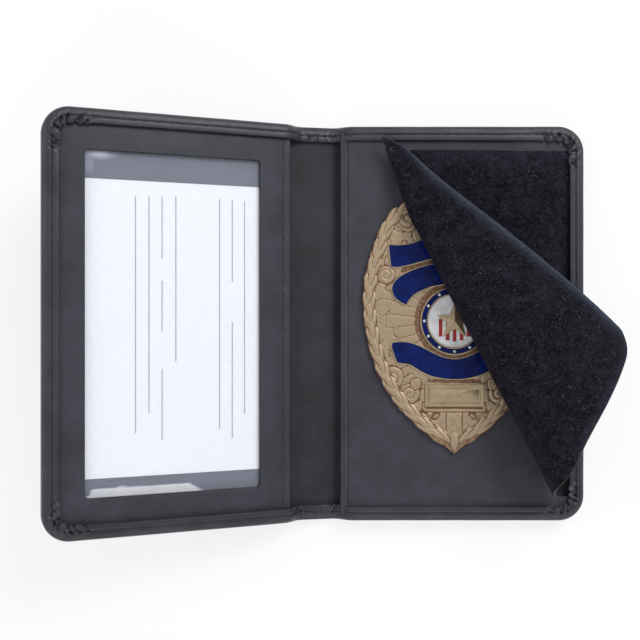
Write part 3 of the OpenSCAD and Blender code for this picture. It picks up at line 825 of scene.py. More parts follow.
# %% Enamel, filled in and slightly uneven
def enamel(name, dark, light, roughness=0.28, shine=0.1):
    m = new_material(name, light, roughness, Coat_Weight=shine / 3, Coat_Roughness=0.06,
                     Specular_IOR_Level=shine)
    pool = node(m, "ShaderNodeTexNoise", Scale=330.0, Detail=3.0)
    textured(m, pool)
    shade_between(m, pool, "Fac", dark, light)
    bump_from(m, [(pool, "Fac", 0.15)], 0.00005)
    return m


blue_enamel = enamel("blue_enamel", (0.0030, 0.0080, 0.062), (0.0045, 0.0125, 0.100),
                     roughness=0.2, shine=0.06)
white_enamel = enamel("white_enamel", (0.52, 0.53, 0.54), (0.66, 0.67, 0.68), shine=0.4)
red_enamel = enamel("red_enamel", (0.22, 0.018, 0.022), (0.33, 0.030, 0.035), shine=0.15)
print("enamels:", blue_enamel.name, white_enamel.name, red_enamel.name)

# %% Outlines of the badge, from its axis outwards
AXIS_X, PANEL_TOP, PLATE_T, SUNK = -2.0, 4.75, 1.1, 0.25
HALF_OUTLINE = [(0, 37.6), (4, 37.0), (9, 35.6), (14.2, 32.8), (17.9, 29.9), (20.3, 25.9),
                (21.9, 21.6), (23.1, 17.7), (24.1, 14.2), (24.7, 10.7), (24.9, 7.4), (24.8, 3.4),
                (24.2, -1.7), (23.2, -6.4), (22.1, -10.2), (20.5, -14.6), (18.1, -18.8), (15.2, -22.9),
                (11.6, -26.5), (7.9, -29.9), (3.4, -33.2), (0, -35.2)]


def along_line(points, count):
    """Even steps along a line of points."""
    points = np.array(points, float)
    far = np.concatenate([[0], np.cumsum(np.linalg.norm(np.diff(points, axis=0), axis=1))])
    at = np.linspace(0, far[-1], count)
    return np.stack([np.interp(at, far, points[:, 0]), np.interp(at, far, points[:, 1])], axis=1), far[-1]


right_side, side_length = along_line(HALF_OUTLINE, 61)
outline = np.concatenate([right_side, (right_side * [-1, 1])[::-1][1:-1]])
print("badge edge is", round(2 * side_length, 1), "mm round")


# %% A plate from an outline, and rings inset in its top
def plate_from(name, points, z, height):
    """A circle with as many points as the outline, each moved to its place, then raised."""
    clear()
    bpy.ops.mesh.primitive_circle_add(vertices=len(points), radius=1, fill_type="NGON", location=(0, 0, 0))
    obj = named(name)
    set_points(obj, [(x, y, z) for x, y in points])
    take(obj)
    bpy.ops.mesh.select_all(action="SELECT")
    bpy.ops.mesh.extrude_region_move(TRANSFORM_OT_translate={"value": (0, 0, height)})
    face_out()
    return obj


def top_ring(steps):
    """Insets the top face in (inward, up) steps."""
    bm = bmesh.from_edit_mesh(bpy.context.object.data)
    highest = max(v.co.z for v in bm.verts)
    pick(lambda c, f: f.normal.z > 0.9 and c.z > highest - 0.001)
    for inward, up in steps:
        bpy.ops.mesh.inset(thickness=inward, depth=up, use_even_offset=True)


def badge_place(points):
    """From the badge's own axis to the wallet's frame."""
    return upright(points + np.array([AXIS_X, 0, 0]))


def on_badge(obj, material, slot, *stands_for, angle=30):
    """Finishes a piece of the badge, which rides on the back leaf."""
    finished(obj, badge_place, material, body="back_leaf", stands_for=stands_for, angle=angle)


# %% Lines moved in from the outline
def offset_line(points, outwards_by):
    """A closed line moved outwards, or inwards when the distance is below 0."""
    ahead = np.roll(points, -1, axis=0) - np.roll(points, 1, axis=0)
    ahead /= np.maximum(np.linalg.norm(ahead, axis=1), 1e-9)[:, None]
    x, y = points.T
    way = np.sign(np.sum(x * np.roll(y, -1) - np.roll(x, -1) * y))
    return points + outwards_by * way * np.stack([ahead[:, 1], -ahead[:, 0]], axis=1)


def moved_in(points, inset_by):
    """The badge's outline moved in; its foot is a corner, so it moves further."""
    inner = offset_line(points, -inset_by)
    foot = points[:, 1] < -35
    inner[foot] += 0.16 * (inner[foot] - points[foot])
    return inner


def place_ring(target, source):
    """Moves the selected ring of points to a target, each by its nearest source point."""
    me = bpy.context.object.data
    bm = bmesh.from_edit_mesh(me)
    for v in [v for v in bm.verts if v.select]:
        i = int(np.argmin(np.linalg.norm(source - np.array(v.co[:2]), axis=1)))
        v.co.x, v.co.y = target[i]
    bmesh.update_edit_mesh(me)


# %% The plate with its raised border and sunk field
BORDER = 3.2
scallop = outline * (1 + 0.010 * np.cos(np.arange(len(outline)) * 2 * math.pi / 4))[:, None]
shield = plate_from("badge_plate", scallop, PANEL_TOP, PLATE_T - 0.15)
top_ring([(0.15, 0.15), (0.05, 0.0)])
place_ring(moved_in(outline, BORDER), outline)
bpy.ops.mesh.inset(thickness=0.04, depth=0.0)
place_ring(moved_in(outline, BORDER + 0.25), moved_in(outline, BORDER + 0.02))
bpy.ops.transform.translate(value=(0, 0, -SUNK))
clear()
on_badge(shield, field_gold, "gold_plate", "badge_shield")

# %% [markdown]
# The field is struck with fine relief: fans of flat bars beside the seal,
# scrolls elsewhere, and a net of thin sunk lines. A grid trimmed to the field
# is raised by a formula for each. Its height is kept as an attribute, so that
# the finish can put the coppery tone in the sunk lines.

# %% Height of the relief, from 0 to 1
SEAL_Y, FIELD = 0.7, PANEL_TOP + PLATE_T - SUNK
# each scroll as (x, y, size, hand)
SCROLLS = [(12.6, 28.5, 3.0, 1), (6.2, 31.8, 2.6, -1), (18.6, 13.2, 2.2, -1), (17.0, -14.6, 2.8, 1),
           (12.2, -19.2, 2.4, -1), (9.4, -26.6, 2.2, 1), (4.9, -29.8, 1.7, -1), (11.2, 12.6, 1.3, 1),
           (10.6, -16.4, 1.4, 1)]
BAR_TURN, FAN, SEAL_RIM = 12.0, 42, 10.8


def sunk_line(distance, half_width):
    return np.exp(-((distance / half_width) ** 2))


def net_of_lines(ax, y, ground):
    broad = sunk_line(uneven_at(ax, y, 3.6, 2.2), 0.045)
    narrow = sunk_line(uneven_at(ax, y, 1.4, 5.2), 0.05)
    return 0.80 - 0.70 * broad - 0.40 * narrow + 0.30 * ground


def with_bars(rise, ax, y, ground):
    """Flat bars in a fan on both sides of the seal."""
    around, away = np.degrees(np.arctan2(y - SEAL_Y, ax)), np.hypot(ax, y - SEAL_Y)
    bar = (around + FAN) / BAR_TURN
    tip = 17.6 + 1.8 * np.sin(np.floor(bar) * 2.3)
    from_side = np.minimum(bar % 1, 1 - bar % 1) * away * math.radians(BAR_TURN)
    from_end = np.minimum(away - SEAL_RIM, tip - away)
    inside = (np.abs(around) < FAN) & (from_end > 0)
    return np.where(inside, 0.22 + 0.58 * smooth(np.minimum(from_side, from_end) / 0.3) + 0.20 * ground, rise)


def with_scrolls(rise, ax, y):
    for cx, cy, size, hand in SCROLLS:
        dx, dy = ax - cx, (y - cy) * hand
        r, a = np.hypot(dx, dy), np.arctan2(dy, dx)
        turn = (r / size * 1.7 - a / (2 * math.pi)) % 1
        rise = np.where(r < size * 1.1, 0.95 - 0.8 * sunk_line(turn - 0.5, 0.14), rise)
        rise = np.where(np.abs(r - size * 1.16) < 0.16, 0.15, rise)
    return rise


def relief(x, y):
    ax = np.abs(x)
    ground = uneven_at(ax, y, 0.5, 9.2)
    rise = with_scrolls(with_bars(net_of_lines(ax, y, ground), ax, y, ground), ax, y)
    # sunk lines beside the column and along the moulding under the plate
    beside = (np.abs(ax - 2.25) < 0.22) & (np.abs(y + 27.2) < 3.1)
    under = (ax < 7.8) & (np.minimum(np.abs(y + 22.95), np.abs(y + 24.1)) < 0.24)
    rise = np.where(beside | under, 0.05, rise)
    # the ground lies low between the ribbons, round the seal and above the plate
    low_ground = (np.abs(y - 17.8 + 0.013 * x * x) < 1.5) & (ax < 14.5)
    low_ground |= np.hypot(ax, y - SEAL_Y) < SEAL_RIM
    low_ground |= (np.abs(y + 15.6) < 0.5) & (ax < 7.5)
    return np.clip(np.where(low_ground, 0.26 + 0.3 * ground, rise), 0, 1)


# %% A grid trimmed to the field
clear()
bpy.ops.mesh.primitive_grid_add(x_subdivisions=190, y_subdivisions=286, size=1, location=(0, 1.2, 0))
ground = scaled(named("badge_relief"), (47, 71, 1))
take(ground)
limit = moved_in(outline, BORDER + 0.15)
limit_angle = np.arctan2(limit[:, 1], limit[:, 0])
order = np.argsort(limit_angle)


def limit_far(x, y):
    return np.interp(math.atan2(y, x), limit_angle[order], np.hypot(*limit[order].T), period=2 * math.pi)


print("trimmed faces:", pick(lambda c, f: math.hypot(c.x, c.y) > limit_far(c.x, c.y)))
bpy.ops.mesh.delete(type="FACE")
clear()

# %% Raise the grid, and keep each point's height
g = points_of(ground)
raised = relief(g[:, 0], g[:, 1])
g[:, 2] = FIELD + 0.05 + 0.20 * raised
set_points(ground, g)
marked(ground, "height", raised)

# %% Close the shell: the rim is drawn down, made level and filled
take(ground)
pick(lambda c, e: len(e.link_faces) == 1, "EDGE")
bpy.ops.mesh.extrude_region_move(TRANSFORM_OT_translate={"value": (0, 0, -0.5)})
bpy.ops.transform.resize(value=(1, 1, 0), center_override=(0, 0, FIELD - 0.1))
bpy.ops.mesh.edge_face_add()
face_out()
on_badge(ground, relief_gold, "gold_plate", angle=60)

# %% [markdown]
# The wreath is many laurel leaves. One leaf is a small grid, pinched to a
# point and raised along its middle rib. Copies are laid in three rows along
# the border with their points towards the foot: one row in the middle, on top,
# and one on each side that leans away from it. Their edges keep the dirt.

# %% One laurel leaf
clear()
bpy.ops.mesh.primitive_grid_add(x_subdivisions=10, y_subdivisions=6, size=2, location=(0, 0, 0))
laurel = bpy.context.object
g = points_of(laurel)
spread = np.cos(g[:, 0] * math.pi / 2) ** np.where(g[:, 0] > 0, 1.1, 0.6)
arched = spread * (1 - np.abs(g[:, 1])) ** 0.8
edge_tone = 1 - g[:, 1] ** 2 * np.where(g[:, 0] < -0.6, 0, 1)
LEAF_LONG, LEAF_WIDE = 3.2, 0.95
leaf_z = 0.04 + 0.24 * arched + 0.09 * g[:, 0]
set_points(laurel, np.stack([g[:, 0] * LEAF_LONG, g[:, 1] * spread * LEAF_WIDE, leaf_z], axis=1))
marked(laurel, "height", edge_tone)
modify(laurel, "SOLIDIFY", thickness=0.12, offset=-1)

# %% Its copies along the border
# each row as (distance in from the outline, lean in degrees, height)
MIDDLE_ROW, SIDE_ROWS = [(1.7, 0, 0.1)], [(0.95, 9, 0.0), (2.45, -10, 0.0)]
rows, leaves = along_line(HALF_OUTLINE, 39)[0], []
for n in range(1, len(rows) - 1):
    tangent = rows[n + 1] - rows[n - 1]
    tangent /= np.linalg.norm(tangent)
    inwards = np.array([-tangent[1], tangent[0]])
    inwards *= -np.sign(inwards @ rows[n])
    for inset_by, lean, up in MIDDLE_ROW if n % 2 else SIDE_ROWS:
        if n == len(rows) - 2 or (n == len(rows) - 3 and lean > 0):
            continue
        x, y = rows[n] + inwards * inset_by
        way = math.degrees(math.atan2(tangent[1], tangent[0])) - lean
        z = PANEL_TOP + PLATE_T + up
        leaves += [(x, y, z, way, (1, 1, 1)), (-x, y, z, 180 - way, (1, -1, 1))]
leaves.append((0, -32.1, PANEL_TOP + PLATE_T + 0.1, -90, (0.85, 1.5, 1)))
print("leaves:", len(leaves))
wreath = row_of(laurel, leaves, "badge_laurel")
bpy.data.objects.remove(laurel)
on_badge(wreath, relief_gold, "gold_plate", "badge_wreath", angle=50)

# %% [markdown]
# The ribbons are filled with blue enamel inside a thin gold rim. Each is an
# outline raised from the field. Its top is inset twice: once for the rim,
# once for the step down to the enamel, and that last face gets the enamel.

# %% A ribbon from the line of its left half
def flowing(points, steps=8):
    """A smooth closed line through (x, y, sharp) points; sharp ones stay corners."""
    line = []
    for i, (x, y, sharp) in enumerate(points):
        a, b, c, d = (np.array(points[k % len(points)][:2], float) for k in (i - 1, i, i + 1, i + 2))
        leave = c - b if sharp else (c - a) / 2
        arrive = c - b if points[(i + 1) % len(points)][2] else (d - b) / 2
        for t in np.arange(steps) / steps:
            line.append((2 * t ** 3 - 3 * t ** 2 + 1) * b + (t ** 3 - 2 * t ** 2 + t) * leave
                        + (3 * t ** 2 - 2 * t ** 3) * c + (t ** 3 - t ** 2) * arrive)
    return np.array(line)


def ribbon(name, left_line):
    """left_line runs along the top from the axis to the tail and back below."""
    points = left_line + [(-x, y, sharp) for x, y, sharp in left_line[::-1] if x]
    ring, _ = along_line(np.concatenate([flowing(points), [points[0][:2]]]), 161)
    obj = plate_from(name, offset_line(ring[:-1], 0.25), PANEL_TOP + PLATE_T - SUNK, SUNK + 0.42)
    top_ring([(0.07, 0.05), (0.15, 0.0), (0.06, -0.11)])
    clear()
    painted(obj, [bright_gold, blue_enamel])
    for f in obj.data.polygons:
        big_top = f.normal.z > 0.9 and len(f.vertices) > 10
        f.material_index = 1 if big_top and f.center.z > PANEL_TOP + PLATE_T else 0
    return obj


# %% Three enamelled ribbons
RIBBONS = {
    "ribbon_high": [(0, 24.9, 0), (-4.5, 24.3, 0), (-8.1, 23.0, 0), (-12.0, 21.7, 0), (-15.6, 21.3, 0),
                    (-17.9, 21.45, 1), (-17.25, 15.5, 1), (-15.3, 15.4, 0), (-12.0, 16.1, 0),
                    (-8.7, 17.0, 0), (-5.6, 17.8, 0), (0, 18.4, 0)],
    "ribbon_middle": [(0, 17.0, 0), (-5.9, 16.1, 0), (-9.8, 15.1, 0), (-12.55, 14.0, 0), (-15.0, 12.6, 0),
                      (-16.55, 10.96, 0), (-16.97, 9.3, 0), (-16.4, 7.5, 0), (-15.0, 6.1, 0), (-13.2, 5.1, 1),
                      (-12.55, 6.3, 0), (-10.9, 8.05, 0), (-8.1, 9.4, 0), (-5.4, 10.3, 0), (0, 10.9, 0)],
    "ribbon_low": [(0, -9.7, 0), (-3.4, -9.1, 0), (-6.5, -7.7, 0), (-9.5, -6.2, 0), (-12.55, -5.2, 0),
                   (-15.3, -5.07, 0), (-17.1, -5.8, 0), (-15.6, -10.6, 1), (-14.2, -10.75, 0),
                   (-12.0, -11.2, 0), (-9.5, -12.7, 0), (-6.75, -14.05, 0), (-3.4, -14.85, 0), (0, -15.1, 0)]}
badge_ribbons = join([ribbon(name, line) for name, line in RIBBONS.items()], "badge_ribbon_set")
on_badge(badge_ribbons, None, "blue_enamel", "badge_ribbons")

# %% [markdown]
# The round seal has a gold rim, a blue ring with twelve white beads, and a
# white middle. The device on it is a plain star over upright bars, which is
# a common pattern and stands for no office or maker.

# %% Rim, ring and middle of the seal
SEAL_R, BEAD_RING, BEAD_R, SEAL_FACE = 9.4, 8.25, 0.42, FIELD + SUNK + 0.32


def circle(r, n=72):
    steps = [2 * math.pi * i / n for i in range(n)]
    return [(r * math.cos(a), SEAL_Y + r * math.sin(a)) for a in steps]


rim = plate_from("rim", circle(SEAL_R), FIELD, SUNK + 0.45)
top_ring([(0.12, 0.13), (0.3, 0.0), (0.1, -0.2), (1.25, 0.0), (0.1, 0.16), (0.3, 0.0), (0.1, -0.22)])
clear()
painted(rim, [bright_gold, blue_enamel, white_enamel])
for f in rim.data.polygons:
    away = math.hypot(f.center.x, f.center.y - SEAL_Y)
    flat_top = f.normal.z > 0.9 and f.center.z > FIELD + 0.3
    f.material_index = 2 if len(f.vertices) > 10 and flat_top else 1 if flat_top and 7.6 < away < 8.9 else 0
on_badge(rim, None, "white_enamel", "seal_rim", "seal_disc")

# %% Twelve beads in the ring
clear()
bpy.ops.mesh.primitive_uv_sphere_add(segments=12, ring_count=7, radius=BEAD_R)
bead = bpy.context.object
bead_places = [(x, y, SEAL_FACE + 0.04, 0, (1, 1, 0.8)) for x, y in circle(BEAD_RING, 12)]
bead_ring = row_of(bead, bead_places, "seal_beads")
bpy.data.objects.remove(bead)
on_badge(bead_ring, white_enamel, "white_enamel", angle=80)

# %% Upright bars in the middle
BAR_GAP, BAR_HALF, BARS_R = 1.9, 0.5, 6
bars = []
for i in range(-2, 3):
    x = i * BAR_GAP
    foot = SEAL_Y - math.sqrt(BARS_R ** 2 - x ** 2) + 0.4
    bar = slab("bar", x - BAR_HALF, x + BAR_HALF, foot, SEAL_Y + 0.6, SEAL_FACE - 0.1, 0.16)
    pick(lambda c, e: c.z > SEAL_FACE - 0.01, "EDGE")
    bpy.ops.mesh.bevel(offset=0.05, segments=2, affect="EDGES")
    clear()
    bars.append(bar)
seal_bars = join(bars, "seal_bars")
on_badge(seal_bars, red_enamel, "white_enamel", angle=35)

# %% The star, its middle drawn up
STAR_R, STAR_WAIST = 5.2, 0.42
star_line = []
for n in range(10):
    r, a = STAR_R * (1 if n % 2 == 0 else STAR_WAIST), math.radians(36 * n)
    star_line.append((r * math.sin(a), SEAL_Y + r * math.cos(a)))
star = plate_from("seal_star_raised", star_line, SEAL_FACE - 0.05, 0.2)
pick(lambda c, f: f.normal.z > 0.9)
bpy.ops.mesh.poke()
bm = bmesh.from_edit_mesh(star.data)
for v in bm.verts:
    if abs(v.co.x) < 0.3 and abs(v.co.y - SEAL_Y) < 0.3 and v.co.z > SEAL_FACE:
        v.co.z += 0.35
bmesh.update_edit_mesh(star.data)
clear()
outwards(star)
on_badge(star, bright_gold, "gold_plate", "seal_star", angle=15)

# %% The blank plate with its mouldings, and the column under it
def raised_block(x, low, high, height, round_by=0.18):
    """A block across the axis with its upper edges rounded."""
    obj = slab("block", -x, x, low, high, FIELD, height)
    pick(lambda c, e: c.z > FIELD + height - 0.1, "EDGE")
    bpy.ops.mesh.bevel(offset=round_by, segments=3, affect="EDGES")
    clear()
    return obj


NUMBER_HALF, NUMBER_LOW, NUMBER_HIGH = 8.1, -22.7, -16.6
plate = slab("number_plate_raised", -NUMBER_HALF, NUMBER_HALF, NUMBER_LOW, NUMBER_HIGH, FIELD, 0.5)
top_ring([(0.12, 0.14), (0.9, 0.0), (0.14, -0.16), (0.25, 0.0), (0.12, 0.06)])
clear()
# each block as (half width, foot, top, height)
blocks = [(8.9, -16.75, -16.1, 0.55), (7.6, -23.95, -23.2, 0.42), (2.0, -30.2, -24.3, 0.34)]
blank = join([plate] + [raised_block(*b) for b in blocks], "blank_plate")
on_badge(blank, bright_gold, "gold_plate", "number_plate")
for name in ("pin_joint", "pin_stem", "pin_catch"):
    painted(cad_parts[name], steel)

# %% [markdown]
# ## The suede flap
# The flap is one sheet of suede, sewn under the right hem. It is rolled back
# over itself along a slanting line: tight at the top corner, open at the low
# end. That is the form of a cone, and every straight line on it runs to one
# point. A primitive can't be bent that way by hand, so the sheet's points are
# worked out from its flat cut: u runs along the fold and v across it.

# %% Where a point of the flat suede comes to lie
SUEDE_T, FOLD_DIR, ROLL, TOP_R, LOW_R, ARCH_R = 0.8, math.radians(58.5), math.radians(154), 0.9, 9.2, 29.5
FLAP_X1, FLAP_X0, FLAP_HALF, FREE_R = 31.55, -27.75, 47.2, 6.0
START = np.array([FLAP_X0 + 7.2, FLAP_HALF - 4])
ALONG = np.array([math.cos(FOLD_DIR), -math.sin(FOLD_DIR)])
ACROSS = np.array([-math.sin(FOLD_DIR), -math.cos(FOLD_DIR)])
CORNER_UV = [float(a @ (np.array([FLAP_X0 + FREE_R, FREE_R - FLAP_HALF]) - START)) for a in (ALONG, ACROSS)]
RIDE_Z, SEAT_Z, MARGIN_Z, LIP_X, DIP_X, SEAM_OUT = 7.2, 5.3, 4.2, 29.1, 25.5, 9.0
PINCH, PINCH_Y, PINCH_RUN, PINCH_DEEP = 2.9, 24.0, 24.0, 12.0
BADGE_HALF_W, BADGE_HALF_H, BADGE_MID_Y = 24.7, 40.8, 5.7


def ride_height(x, y, v):
    """The sheet rides on the badge and sags beside it, down to its seam."""
    around = np.hypot((x - AXIS_X) / BADGE_HALF_W, (y - BADGE_MID_Y) / BADGE_HALF_H)
    sag = smooth((-v - 6) / 14) * smooth((around - 1) / 0.4)
    dip = np.where(v > 0, 0, smooth((x - DIP_X) / (LIP_X - DIP_X)))
    top = RIDE_Z - (RIDE_Z - SEAT_Z) * sag
    return top - (top - MARGIN_Z) * dip


def pinched(xy):
    """The fold is drawn in near its top end, where the sheet is held tightest."""
    out = (xy - START) @ ACROSS
    share = smooth((out + PINCH_DEEP) / PINCH_DEEP) * smooth((xy[:, 1] - PINCH_Y) / PINCH_RUN)
    share *= 1 - 0.9 * smooth((xy[:, 1] - FLAP_HALF) / 3.2)
    return xy + np.outer(PINCH * share, [1, 0])


def rolled(u, v):
    """Middle of the sheet in mm, with its normal."""
    r = TOP_R + (LOW_R - TOP_R) * u / 100
    w = v - ROLL * r
    turn = np.where(v <= 0, 0, np.where(w <= 0, v / r, ROLL + w / ARCH_R))
    over = r * math.sin(ROLL) + ARCH_R * (np.sin(turn) - math.sin(ROLL))
    high = r * (1 - math.cos(ROLL)) + ARCH_R * (math.cos(ROLL) - np.cos(turn))
    g = np.where(v <= 0, v, np.where(w <= 0, r * np.sin(turn), over))
    h = np.where(v <= 0, 0, np.where(w <= 0, r * (1 - np.cos(turn)), high))
    xy = pinched(START + np.outer(u, ALONG) + np.outer(g, ACROSS))
    z = h + ride_height(xy[:, 0], xy[:, 1], v)
    normal = np.stack([-np.sin(turn) * ACROSS[0], -np.sin(turn) * ACROSS[1], np.cos(turn)], axis=1)
    return np.column_stack([xy, z]), normal, w

# %% Where a line across the sheet meets its cut edge
def at_x(x, p, q):
    return (x - START[0] - p * ACROSS[0]) / (ALONG[0] + q * ACROSS[0])


def at_y(y, p, q):
    return (y - START[1] - p * ACROSS[1]) / (ALONG[1] + q * ACROSS[1])


def round_end(p, q, side):
    f, e = 1 + q * q, q * (CORNER_UV[1] - p) + CORNER_UV[0]
    g = CORNER_UV[0] ** 2 + (p - CORNER_UV[1]) ** 2 - FREE_R ** 2
    return (e + side * math.sqrt(max(0, e * e - f * g))) / f


def line_ends(p, q):
    # the lower edge bows out a little where it comes off the roll
    bow = 1.1 * math.exp(-(((p + 105 * q - 26) / 7) ** 2))
    left, low = at_x(FLAP_X0, p, q), at_y(-FLAP_HALF - bow, p, q)
    left_y = START[1] + left * ALONG[1] + (p + q * left) * ACROSS[1]
    low_x = START[0] + low * ALONG[0] + (p + q * low) * ACROSS[0]
    u0 = max(round_end(p, q, -1) if left_y < FREE_R - FLAP_HALF else left, at_y(FLAP_HALF, p, q))
    # the seam's margin is cut away in a soft curve where the sheet begins to roll
    right = FLAP_X1 if p < -SEAM_OUT else LIP_X - (LIP_X - DIP_X) * float(smooth((p + SEAM_OUT) / SEAM_OUT))
    u1 = min(round_end(p, q, 1) if low_x < FLAP_X0 + FREE_R else low, at_x(right if q == 0 else DIP_X, p, q))
    return u0, u1


def roll_line(a):
    return a * TOP_R, a * (LOW_R - TOP_R) / 100


END_P, END_Q = roll_line(ROLL)
BACK_LEN = CORNER_UV[1] - END_Q * CORNER_UV[0] + FREE_R * math.hypot(1, END_Q) - END_P
FLAT_V0 = float(ACROSS @ (np.array([FLAP_X1, FLAP_HALF]) - START))
print("suede lying back is", round(BACK_LEN, 1), "mm deep at its corner")
print("its flat part begins at v =", round(FLAT_V0, 1))


# %% [markdown]
# The sheet is modelled in four lengths, because it bends at four hinges and
# a length can bend across one only. Each cut between them lies half-way
# between two hinges, where both lengths follow the same body, so they stay
# joined. The weight that tells how far a point turns is set for each line.


# %% One line across the suede: both sides, flat place and nap
# the suede thins towards a cut edge, over two rows of points
LINE_POINTS, EDGE_THIN = 64, [0.42, 0.85]
THICK = np.concatenate([EDGE_THIN, np.ones(LINE_POINTS), EDGE_THIN[::-1]])
# points along a line lie closer together near its two cut ends
EVEN = np.linspace(0, 1, LINE_POINTS)
EASED = EVEN - 0.7 * np.sin(2 * math.pi * EVEN) / (2 * math.pi)


def suede_line(p, q, share, end):
    u0, u1 = line_ends(p, q)
    long = max(u1 - u0, 0.02)
    rim = min(0.45 / long, 0.12)
    steps = np.concatenate([[0, rim / 2], rim + (1 - 2 * rim) * EASED, [1 - rim / 2, 1]])
    u = u0 + long * steps
    v = p + q * u
    middle, normal, w = rolled(u, v)
    # the cut edge of the part that lies back curls down a little
    from_cut = np.minimum(u - u0, u1 - u)
    lies_back = smooth((w - 2) / 6)
    middle[:, 2] -= 0.75 * lies_back * np.maximum(0, 1 - from_cut / 3.4) ** 2
    soft = 0.30 * uneven_at(u, v, 11, 5.5) + 0.12 * uneven_at(u, v, 3.1, 1.5)
    soft *= np.minimum(1, np.minimum(steps, 1 - steps) * 12) * (0.3 if share == 0 else 1)
    half = SUEDE_T / 2 * THICK * end
    # a paler band is painted along both cut ends, as painted sheen where the edge curls down and catches the
    # light
    near_free, near_low = np.exp(-(((u - u0) / 5.2) ** 2)), np.exp(-(((u1 - u) / 2.2) ** 2))
    painted_sheen = np.maximum(near_free, 0.35 * near_low) * (0.15 + 0.85 * lies_back)
    sides = middle + normal * (soft + half)[:, None], middle + normal * (soft - half)[:, None]
    return *sides, np.stack([u, v], axis=1), painted_sheen


# %% Faces of a shell from rows of points
def shell_faces(rows, cols, free_end):
    """Faces of a closed shell, and for each whether it lies on a cut edge."""
    at = np.arange(2 * rows * cols).reshape(2, rows, cols)
    faces, cut = [], []
    for i in range(rows - 1):
        for j in range(cols - 1):
            faces.append((at[0, i, j], at[0, i + 1, j], at[0, i + 1, j + 1], at[0, i, j + 1]))
            faces.append((at[1, i, j], at[1, i, j + 1], at[1, i + 1, j + 1], at[1, i + 1, j]))
            cut += [j in (0, cols - 2)] * 2
        faces.append((at[0, i, 0], at[1, i, 0], at[1, i + 1, 0], at[0, i + 1, 0]))
        faces.append((at[0, i, -1], at[0, i + 1, -1], at[1, i + 1, -1], at[1, i, -1]))
        cut += [True, True]
    for j in range(cols - 1):
        faces.append((at[0, 0, j], at[0, 0, j + 1], at[1, 0, j + 1], at[1, 0, j]))
        faces.append((at[0, -1, j], at[1, -1, j], at[1, -1, j + 1], at[0, -1, j + 1]))
        cut += [False, free_end]
    return [tuple(int(k) for k in f) for f in faces], cut


# %% One length of suede from its lines
def suede_length(name, lines, bodies, stands_for, free_end=False):
    """lines are (p, q, share): share is how far the line has turned past the hinge's start."""
    thinner = dict(enumerate(EDGE_THIN, 1)) if free_end else {}
    made = [suede_line(*line, thinner.get(len(lines) - row, 1)) for row, line in enumerate(lines)]
    top, low, flat, painted_sheen = zip(*made)
    faces, cut = shell_faces(len(lines), len(THICK), free_end)
    me = bpy.data.meshes.new(name)
    me.from_pydata([tuple(p) for p in np.concatenate(top + low)], [], faces)
    obj = bpy.data.objects.new(name, me)
    bpy.context.collection.objects.link(obj)
    take(obj)
    face_out()
    clear()
    set_points(obj, upright(points_of(obj)))
    marked(obj, "painted_sheen", np.concatenate(painted_sheen * 2))
    painted(obj, [suede, suede_edge])
    for f, on_cut in zip(me.polygons, cut):
        f.material_index = int(on_cut)
    round_shade(obj, 50)
    # the blend is set up by the frame, then its share is written line by line
    where = points_of(obj).mean(axis=0)
    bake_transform(obj, *bodies, start=where, end=where + np.array([0, 0, 0.01]))
    shares = np.repeat([line[2] for line in lines], len(THICK))
    me.attributes["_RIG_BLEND"].data.foreach_set("value", np.tile(shares, 2).astype(np.float32))
    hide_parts(*stands_for)


# %% Suede: soft nap with lighter and darker patches
suede = new_material("suede", (0.009, 0.008, 0.015), 0.95, Sheen_Weight=0.03, Sheen_Roughness=0.5,
                     Specular_IOR_Level=0.08)
shader(suede).inputs["Sheen Tint"].default_value = (0.55, 0.55, 0.8, 1)
patches = node(suede, "ShaderNodeTexNoise", Scale=190.0, Detail=8.0, Roughness=0.8)
tufts = node(suede, "ShaderNodeTexNoise", Scale=850.0, Detail=5.0, Roughness=0.8, Distortion=1.6)
flecks = node(suede, "ShaderNodeTexNoise", Scale=1150.0, Detail=3.0, Roughness=0.6, Distortion=2.5)
textured(suede, patches, tufts, flecks)
mixed = node(suede, "ShaderNodeMix", data_type="FLOAT", Factor=0.60)
wire(suede, patches, "Fac", mixed, 2)
wire(suede, tufts, "Fac", mixed, 3)
nap = shade_between(suede, mixed, 0, (0.0010, 0.0008, 0.0018), (0.0215, 0.0185, 0.0300), 0.44, 0.59)

# %% Light flecks of fibre, and a painted sheen along the cut edges
fleck_tone = ramp_from(node(suede, "ShaderNodeValToRGB"), 0.61, 0.71)
wire(suede, flecks, "Fac", fleck_tone, "Fac")
flecked = node(suede, "ShaderNodeMix", data_type="RGBA")
flecked.inputs[7].default_value = (0.105, 0.103, 0.135, 1)
# the pale bluish tone along the cut edges is painted sheen
band = node(suede, "ShaderNodeAttribute", attribute_name="painted_sheen")
band_share = node(suede, "ShaderNodeMath", operation="MULTIPLY")
nap_with_painted_sheen = node(suede, "ShaderNodeMix", data_type="RGBA")
nap_with_painted_sheen.inputs[7].default_value = (0.088, 0.110, 0.160, 1)
wire(suede, fleck_tone, "Color", flecked, 0)
wire(suede, nap, "Color", flecked, 6)
wire(suede, band, "Fac", band_share, 0)
wire(suede, tufts, "Fac", band_share, 1)
wire(suede, band_share, 0, nap_with_painted_sheen, 0)
wire(suede, flecked, 2, nap_with_painted_sheen, 6)
wire(suede, nap_with_painted_sheen, 2, shader(suede), "Base Color")
bump_from(suede, [(patches, "Fac", 0.5), (tufts, "Fac", 1.0)], 0.0007)

# %% Raw cut edge of the suede
suede_edge = fabric("suede_cut_edge", (0.006, 0.0045, 0.005), (0.060, 0.047, 0.045), 0.95, 2000, 0.0001)

# %% Lines of the four lengths
half_way = [ROLL / 3, 2 * ROLL / 3]


def roll_lines(a, b, count, share):
    return [(*roll_line(t), share * (t - a) / (b - a)) for t in np.linspace(a, b, count)]


